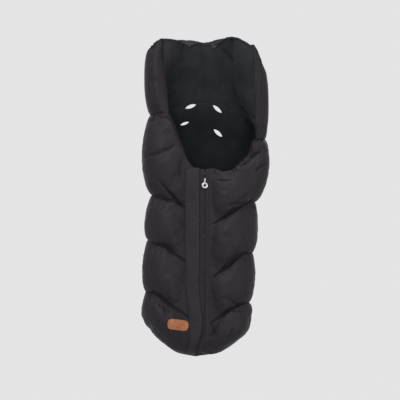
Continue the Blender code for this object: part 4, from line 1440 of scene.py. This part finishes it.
# Creases in the flap, as the folds above
flapMarks = [
    ([(188.2, 204.2), (192.8, 201.0), (197.8, 199.0)], 0.0016, 0.0018),
    ([(188.2, 219.6), (192.4, 223.8), (198.9, 217.4)], 0.0018, 0.0018),
    ([(190.6, 250.6), (195.0, 248.8), (198.8, 245.4)], 0.0016, 0.0020),
    ([(189.5, 273.0), (194.0, 274.4), (198.2, 272.6)], 0.0009, 0.0030),
    ([(195.6, 284.4), (197.8, 281.2), (199.8, 279.0)], 0.0026, 0.0022),
    ([(192.0, 322.0), (195.6, 323.6), (199.2, 322.4)], 0.0010, 0.0024),
]


def flapPoint(row, place):
    low = smooth((flap["splitZ"] - row) / (flap["splitZ"] - flap["footZ"]))
    z = row + flap["footRise"] * (1.0 - place) ** 2 * low ** 4
    free = fromTable(flap["freeEdge"], z)
    seam = fromTable(flap["seamEdge"], z)
    down = flap["topZ"] - z
    if down < flap["corner"]:
        free += flap["corner"] - math.sqrt(max(flap["corner"] ** 2 - (flap["corner"] - down) ** 2, 0.0))
    x = free + (seam - free) * place
    fromEdge = min(x - free, down) if z > flap["splitZ"] else x - free
    crown = flap["crown"] * math.sin(math.pi * min(max(place, 0.0), 1.0)) ** flap["crownPower"]
    size, rate, lean = flap["ripple"]
    crown += size * math.sin(z * rate + lean * place) * place * (1.0 - place)
    stitch = flap["stitchDepth"] * math.exp(-((fromEdge - flap["stitchAt"]) / flap["stitchWidth"]) ** 2)
    full = footFullness(-1, z)
    y = (bag["frontDepth"] + bag["seamLoft"]) * full + flap["gap"] + flap["thick"] + crown - stitch
    return Vector((swayed(x, z), bag["partingY"] - y, z))


def markFlap(piece):
    co = vertexValues(piece.data, "co")
    for line, depth, width in flapMarks:
        distance = alongLine(seenOnPlane(co), onPlane(line))[0]
        co[:, 1] += depth * np.exp(-(distance / width) ** 2)
    piece.data.vertices.foreach_set("co", co.reshape(-1))


# The part of a piece above or below a height, as a piece of its own
def partOf(piece, name, above, height):
    bm = bmesh.new()
    bm.from_mesh(piece.data)
    gone = [face for face in bm.faces if (face.calc_center_median().z > height) != above]
    bmesh.ops.delete(bm, geom=gone, context="FACES")
    return pieceFrom(name, bm, plainNylon)


# Only the part of the flap above the foot folds over, so it is made as two pieces that meet
def makeFlap():
    heights = evenSteps(flap["topZ"], flap["footZ"], flap["rows"])
    whole = gridPiece("wholeFlap", flap["columns"], heights, flapPoint, plainNylon)
    markFlap(whole)
    thickened(whole, flap["thick"])
    softened(whole, 1)
    upper = partOf(whole, "stormFlap", True, flap["splitZ"])
    lower = partOf(whole, "stormFlapFoot", False, flap["splitZ"])
    bpy.data.objects.remove(whole)
    for piece in (upper, lower):
        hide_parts("storm_flap")
    start, end = [(0.0, 0.0, flap["splitZ"] + flap[key]) for key in ("foldFrom", "foldTo")]
    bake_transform(upper)
    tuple(start)
    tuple(end)
    openBlend(lower, -1)


makeFlap()
print("zip tapes and storm flap made")

# Leather label: a tab bent to the lowest left puff
label = {
    "middle": (-0.0842, -0.8405),
    "width": 0.0665,
    "height": 0.0338,
    "corner": 0.0148,
    "tilt": -8.5,
    "thick": 0.0021,
    "lift": 0.0003,
    "overLow": 0.30,
    "columns": 44,
    "rows": 24,
    "border": 0.0030,
    "borderWidth": 0.0008,
    "pressed": 0.0005,
    "samples": (9, 7),
    "from": -0.4,
}


# Distance inside a rounded rectangle's edge
def labelDepth(u, v):
    across = abs(u) - (0.5 * label["width"] - label["corner"])
    up = abs(v) - (0.5 * label["height"] - label["corner"])
    outside = math.hypot(max(across, 0.0), max(up, 0.0)) + min(max(across, up), 0.0)
    return label["corner"] - outside


# The terms of the curve that the label follows
def labelTerms(u, v):
    u /= label["width"]
    v /= label["width"]
    return (1.0, u, v, u * u, u * v, v * v, u ** 3, u * u * v, u * v * v, v ** 3, u ** 4)


# The place in front of the bag of a point on the flat label
def labelPlace(u, v):
    x, z = turnedPlace(u, v, label["tilt"])
    return label["middle"][0] + x, label["middle"][1] + z


# The puff's surface under the label as a smooth curve, and how far forward that has to sit
def labelSeat():
    tree = treeOf(shells["left"])
    terms = []
    heights = []
    for across in np.linspace(-0.5, 0.5, label["samples"][0]):
        for up in np.linspace(-0.5, 0.5, label["samples"][1]):
            u, v = label["width"] * across, label["height"] * up
            x, z = labelPlace(u, v)
            hit = tree.ray_cast(Vector((x, label["from"], z)), Vector((0.0, 1.0, 0.0)))[0]
            terms.append(labelTerms(u, v))
            heights.append(hit.y if hit else bag["partingY"] - bag["frontDepth"])
    terms, heights = np.array(terms), np.array(heights)
    bend = np.linalg.lstsq(terms, heights, rcond=None)[0]
    proud = min(0.0, float((heights - terms @ bend).min()))
    return bend, proud * label["overLow"] - label["lift"]


def makeLabel():
    bend, seat = labelSeat()
    flatHalf = [0.5 * label[key] - label["corner"] for key in ("width", "height")]

    def pointOn(row, place):
        u = label["width"] * (place - 0.5)
        v = label["height"] * (row - 0.5)
        inside = labelDepth(u, v)
        if inside < 0.0:
            shrink = label["corner"] / (label["corner"] - inside)
            coreU, coreV = [math.copysign(min(abs(c), half), c) for c, half in zip((u, v), flatHalf)]
            u = coreU + (u - coreU) * shrink
            v = coreV + (v - coreV) * shrink
            inside = 0.0
        groove = label["pressed"] * math.exp(-((inside - label["border"]) / label["borderWidth"]) ** 2)
        x, z = labelPlace(u, v)
        return Vector((x, seat + float(np.dot(labelTerms(u, v), bend)) + groove - label["thick"], z))

    piece = gridPiece(
        "leatherLabel",
        label["columns"],
        evenSteps(0.0, 1.0, label["rows"]),
        pointOn,
        tanLeather,
    )
    thickened(piece, label["thick"])
    softened(piece, 1)
    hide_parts("leather_label")
    openBlend(piece, -1)


makeLabel()
print("label made")

# How the small parts' edges are found, rounded and shaded
rounding = {"merge": 1e-6, "flat": 0.02, "sharp": 0.6, "shade": 0.7, "segments": 2}


# A copy of one of the frame's pieces with its edges rounded, in its place
def roundedCopy(name, pieceName, radius, material, slot):
    bm = bmesh.new()
    bm.from_mesh(cadNodes[name].data)
    bmesh.ops.remove_doubles(bm, verts=bm.verts, dist=rounding["merge"])
    bmesh.ops.dissolve_limit(bm, angle_limit=rounding["flat"], verts=bm.verts, edges=bm.edges)
    sharp = [edge for edge in bm.edges if edge.is_manifold and edge.calc_face_angle() > rounding["sharp"]]
    if radius:
        bmesh.ops.bevel(
            bm,
            geom=sharp,
            offset=radius,
            offset_type="OFFSET",
            segments=rounding["segments"],
            profile=0.5,
            affect="EDGES",
            clamp_overlap=True,
            material=-1,
        )
    bmesh.ops.triangulate(bm, faces=[face for face in bm.faces if len(face.verts) > 4])
    for face in bm.faces:
        face.smooth = True
    for edge in bm.edges:
        edge.smooth = edge.is_manifold and edge.calc_face_angle() < rounding["shade"]
    piece = pieceFrom(pieceName, bm, material)
    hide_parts(name)
    return piece


# Of each piece: its name, edge radius, finish, slot and body
hardware = {
    "zip_slider": ("zipSlider", 0.00045, blackMetal, "black_metal", "slider"),
    "slider_bridge": ("sliderBridge", 0.00030, blackMetal, "black_metal", "slider"),
    "ring_puller": ("ringPuller", 0.00050, pullerMetal, "silver_metal", "puller"),
    "zip_top_stop_left": ("topStop_left", 0.00025, blackMetal, "black_metal", "front_left"),
    "zip_top_stop_right": ("topStop_right", 0.00025, blackMetal, "black_metal", "front_right"),
    "zip_bottom_stop": ("bottomStop", 0.00035, blackMetal, "black_metal", "back"),
    "grip_patch": ("gripPatch", 0.00060, gripCloth, "grip_fabric", "back"),
    "hanging_loop_left": ("hangingLoop_left", 0.00040, webCloth, "webbing", "back"),
    "hanging_loop_right": ("hangingLoop_right", 0.00040, webCloth, "webbing", "back"),
}
grip = {"pitch": 0.006, "near": 0.008, "proud": 0.0003, "from": 0.2, "digits": 5}


# The patch is cut in small squares that follow the puffed back under it
def drapeOver(piece, shell):
    tree = treeOf(shell)
    bm = bmesh.new()
    bm.from_mesh(piece.data)
    low = Vector(min(v.co[axis] for v in bm.verts) for axis in range(3))
    high = Vector(max(v.co[axis] for v in bm.verts) for axis in range(3))
    for axis in (0, 2):
        normal = Vector((0.0, 0.0, 0.0))
        normal[axis] = 1.0
        for step in range(1, int((high[axis] - low[axis]) / grip["pitch"])):
            place = low + normal * (grip["pitch"] * step)
            whole = bm.verts[:] + bm.edges[:] + bm.faces[:]
            bmesh.ops.bisect_plane(bm, geom=whole, plane_co=place, plane_no=normal)

    def raisedAt(x, z):
        hit = tree.ray_cast(Vector((x, grip["from"], z)), Vector((0.0, -1.0, 0.0)))[0]
        return max(hit.y + grip["proud"] - low.y, 0.0) if hit else 0.0

    steps = [step * grip["near"] for step in (-1, 0, 1)]
    raised = {}
    for vert in bm.verts:
        place = (round(vert.co.x, grip["digits"]), round(vert.co.z, grip["digits"]))
        if place not in raised:
            near = [raisedAt(place[0] + a, place[1] + b) for a in steps for b in steps]
            raised[place] = max(sum(near) / len(near), raisedAt(*place))
        vert.co.y += raised[place]
    for face in bm.faces:
        face.smooth = True
    bm.to_mesh(piece.data)
    bm.free()


for name, (pieceName, radius, material, slotName, body) in hardware.items():
    piece = roundedCopy(name, pieceName, radius, material, slotName)
    if name == "grip_patch":
        drapeOver(piece, shells["back"])
    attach(piece, body)
for side, word in sides:
    openBlend(roundedCopy("zip_teeth_" + word, "zipTeeth_" + word, 0.0, coilNylon, "zip_coil"), side)
print("zip parts, loops and patch finished")

# Side gussets: strips of shell cloth inside the side seams, unseen until the front turns open
gusset = {
    "topZ": {-1: -0.196, 1: -0.262},
    "footGap": 0.004,
    "rows": 60,
    "columns": 14,
    "inside": 0.0030,
    "backY": -0.080,
    "turnY": (-0.0855, -0.1055),
    "past": 0.007,
    "least": 0.02,
    "thick": 0.0006,
    "apart": 0.0016,
}
gussetLayers = (
    ("sideGusset_", nylonCloth, "back_shell", "nylon"),
    ("sideGussetLining_", bodyFleece, "back_lining", "fleece"),
)


# Share of the front's turn that a height of a side seam takes
def openShare(side, z):
    tip, up = footSeam(side)
    place = Vector((side * opening["seamX"], 0.0, z))
    return smooth(((place - tip).dot(up) - opening["start"]) / opening["length"])


def channelAt(side, z):
    heights = bagSides[side]["sideZ"]
    channel = sum(z <= height for height in heights[1:-1])
    share = (z - heights[channel]) / (heights[channel + 1] - heights[channel])
    return channel, min(max(share, 0.0), 1.0)


def makeGussets():
    for side, word in sides:
        lowest = bagSides[side]["sideZ"][-2] + gusset["footGap"]
        heights = evenSteps(gusset["topZ"][side], lowest, gusset["rows"])
        heights = [z for z in heights if openShare(side, z) > gusset["least"]]

        # The front edge's depth follows the seam's share of the turn at this height, with its smooth step
        # undone
        def pointOn(z, place):
            turned = 0.5 - math.sin(math.asin(1.0 - 2.0 * openShare(side, z)) / 3.0)
            start, end = gusset["turnY"]
            frontY = start + (end - start - gusset["past"]) * turned
            x = halfWidth(side, *channelAt(side, z)) - gusset["inside"]
            return Vector((side * x, gusset["backY"] + (frontY - gusset["backY"]) * place, z))

        for name, material, node, slotName in gussetLayers:
            piece = gridPiece(name + word, gusset["columns"], heights, pointOn, material)
            if node == "back_lining":
                for vert in piece.data.vertices:
                    vert.co.x -= side * gusset["apart"]
            thickened(piece, gusset["thick"])
            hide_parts(node)
            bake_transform(piece)


makeGussets()
print("gussets made")

bodyOf = {"back": "back", "hood": "back"}
for word, piece in shells.items():
    node = word + "_shell" if word in bodyOf else "front_" + word + "_shell"
    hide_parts(node)
for word, piece in linings.items():
    node = word + "_lining" if word in bodyOf else "front_" + word + "_lining"
    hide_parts(node)
for pieces in (shells, linings):
    for side, word in sides:
        openBlend(pieces[word], side)
    for word, body in bodyOf.items():
        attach(pieces[word], body)
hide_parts("hood_casing", "hood_elastic")
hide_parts("neck_casing", "neck_elastic")

# Finishes of the frame's own pieces that stay
for name, node in cadNodes.items():
    if name.endswith("slot_binding"):
        node.data.materials.clear()
        node.data.materials.append(webCloth)
print("bodies and finishes set")

stage = {
    "floorZ": -1.30,
    "floorRadius": 0.85,
    "floorTones": (0.70, 0.74, 0.76),
    "floorSides": 96,
    "floorRoughness": 0.9,
    "floorMottle": (3.0, 2.0),
    "worldColour": (0.96, 0.98, 1.0, 1.0),
    "worldLight": 0.30,
    "wallColour": (0.785, 0.778, 0.783, 1.0),
    "aim": (0.0, -0.1, -0.4),
}


def makeStage():
    bm = bmesh.new()
    bmesh.ops.create_circle(bm, cap_ends=True, segments=stage["floorSides"], radius=stage["floorRadius"])
    bmesh.ops.translate(bm, verts=bm.verts, vec=(0.0, 0.0, stage["floorZ"]))
    dark, middle, light = [(tone,) * 3 for tone in stage["floorTones"]]
    made = finish("paleFloor", middle, stage["floorRoughness"])
    mottle = noiseOf(made, coordinates(made), *stage["floorMottle"])
    join(made, mixColours(made, mottle, dark, light), shaderInput(made, "Base Color"))
    pieceFrom("floor", bm, made)


# The world lights the footmuff with one colour, and rays from the camera see another
def makeWorld():
    world = bpy.data.worlds.new("studio")
    scene.world = world
    world.use_nodes = True
    tree = world.node_tree
    light = tree.nodes["Background"]
    light.inputs["Color"].default_value = stage["worldColour"]
    light.inputs["Strength"].default_value = stage["worldLight"]
    wall = tree.nodes.new("ShaderNodeBackground")
    wall.inputs["Color"].default_value = stage["wallColour"]
    path = tree.nodes.new("ShaderNodeLightPath")
    seen = path.outputs["Is Camera Ray"]
    for kind in ("Is Glossy Ray", "Is Transmission Ray"):
        either = tree.nodes.new("ShaderNodeMath")
        either.operation = "MAXIMUM"
        tree.links.new(seen, either.inputs[0])
        tree.links.new(path.outputs[kind], either.inputs[1])
        seen = either.outputs[0]
    mix = tree.nodes.new("ShaderNodeMixShader")
    tree.links.new(seen, mix.inputs[0])
    tree.links.new(light.outputs[0], mix.inputs[1])
    tree.links.new(wall.outputs[0], mix.inputs[2])
    tree.links.new(mix.outputs[0], tree.nodes["World Output"].inputs[0])


lamps = {
    "key": {"at": (-1.1, -2.6, 0.75), "size": 1.6, "power": 25.0},
    "fill": {"at": (1.5, -2.4, -0.9), "size": 2.0, "power": 17.0},
    "top": {"at": (-0.1, -0.9, 2.0), "size": 2.0, "power": 34.0},
    "rear": {"at": (0.6, 2.6, 0.8), "size": 2.0, "power": 20.0},
}


def makeLamps(target):
    for name, lamp in lamps.items():
        data = bpy.data.lights.new(name, "AREA")
        data.shape = "DISK"
        data.size = lamp["size"]
        data.energy = lamp["power"]
        made = bpy.data.objects.new(name, data)
        made.location = lamp["at"]
        made.rotation_euler = (target - made.location).to_track_quat("-Z", "Y").to_euler()
        scene.collection.objects.link(made)


camera = {"fieldWidth": 1.256, "sensor": 36.0, "clipEnd": 50.0}


def makeCamera():
    data = bpy.data.cameras.new("camera")
    data.sensor_width = camera["sensor"]
    data.lens = camera["sensor"] * picture["distance"] / camera["fieldWidth"]
    data.clip_end = camera["clipEnd"]
    made = bpy.data.objects.new("camera", data)
    made.location = (picture["eye"][0], picture["planeY"] - picture["distance"], picture["eye"][1])
    made.rotation_euler = (math.pi / 2, 0.0, 0.0)
    scene.collection.objects.link(made)
    scene.camera = made


makeStage()
makeWorld()
makeLamps(Vector(stage["aim"]))
makeCamera()
scene.view_settings.view_transform = "Standard"
print("stage, lamps and camera placed")
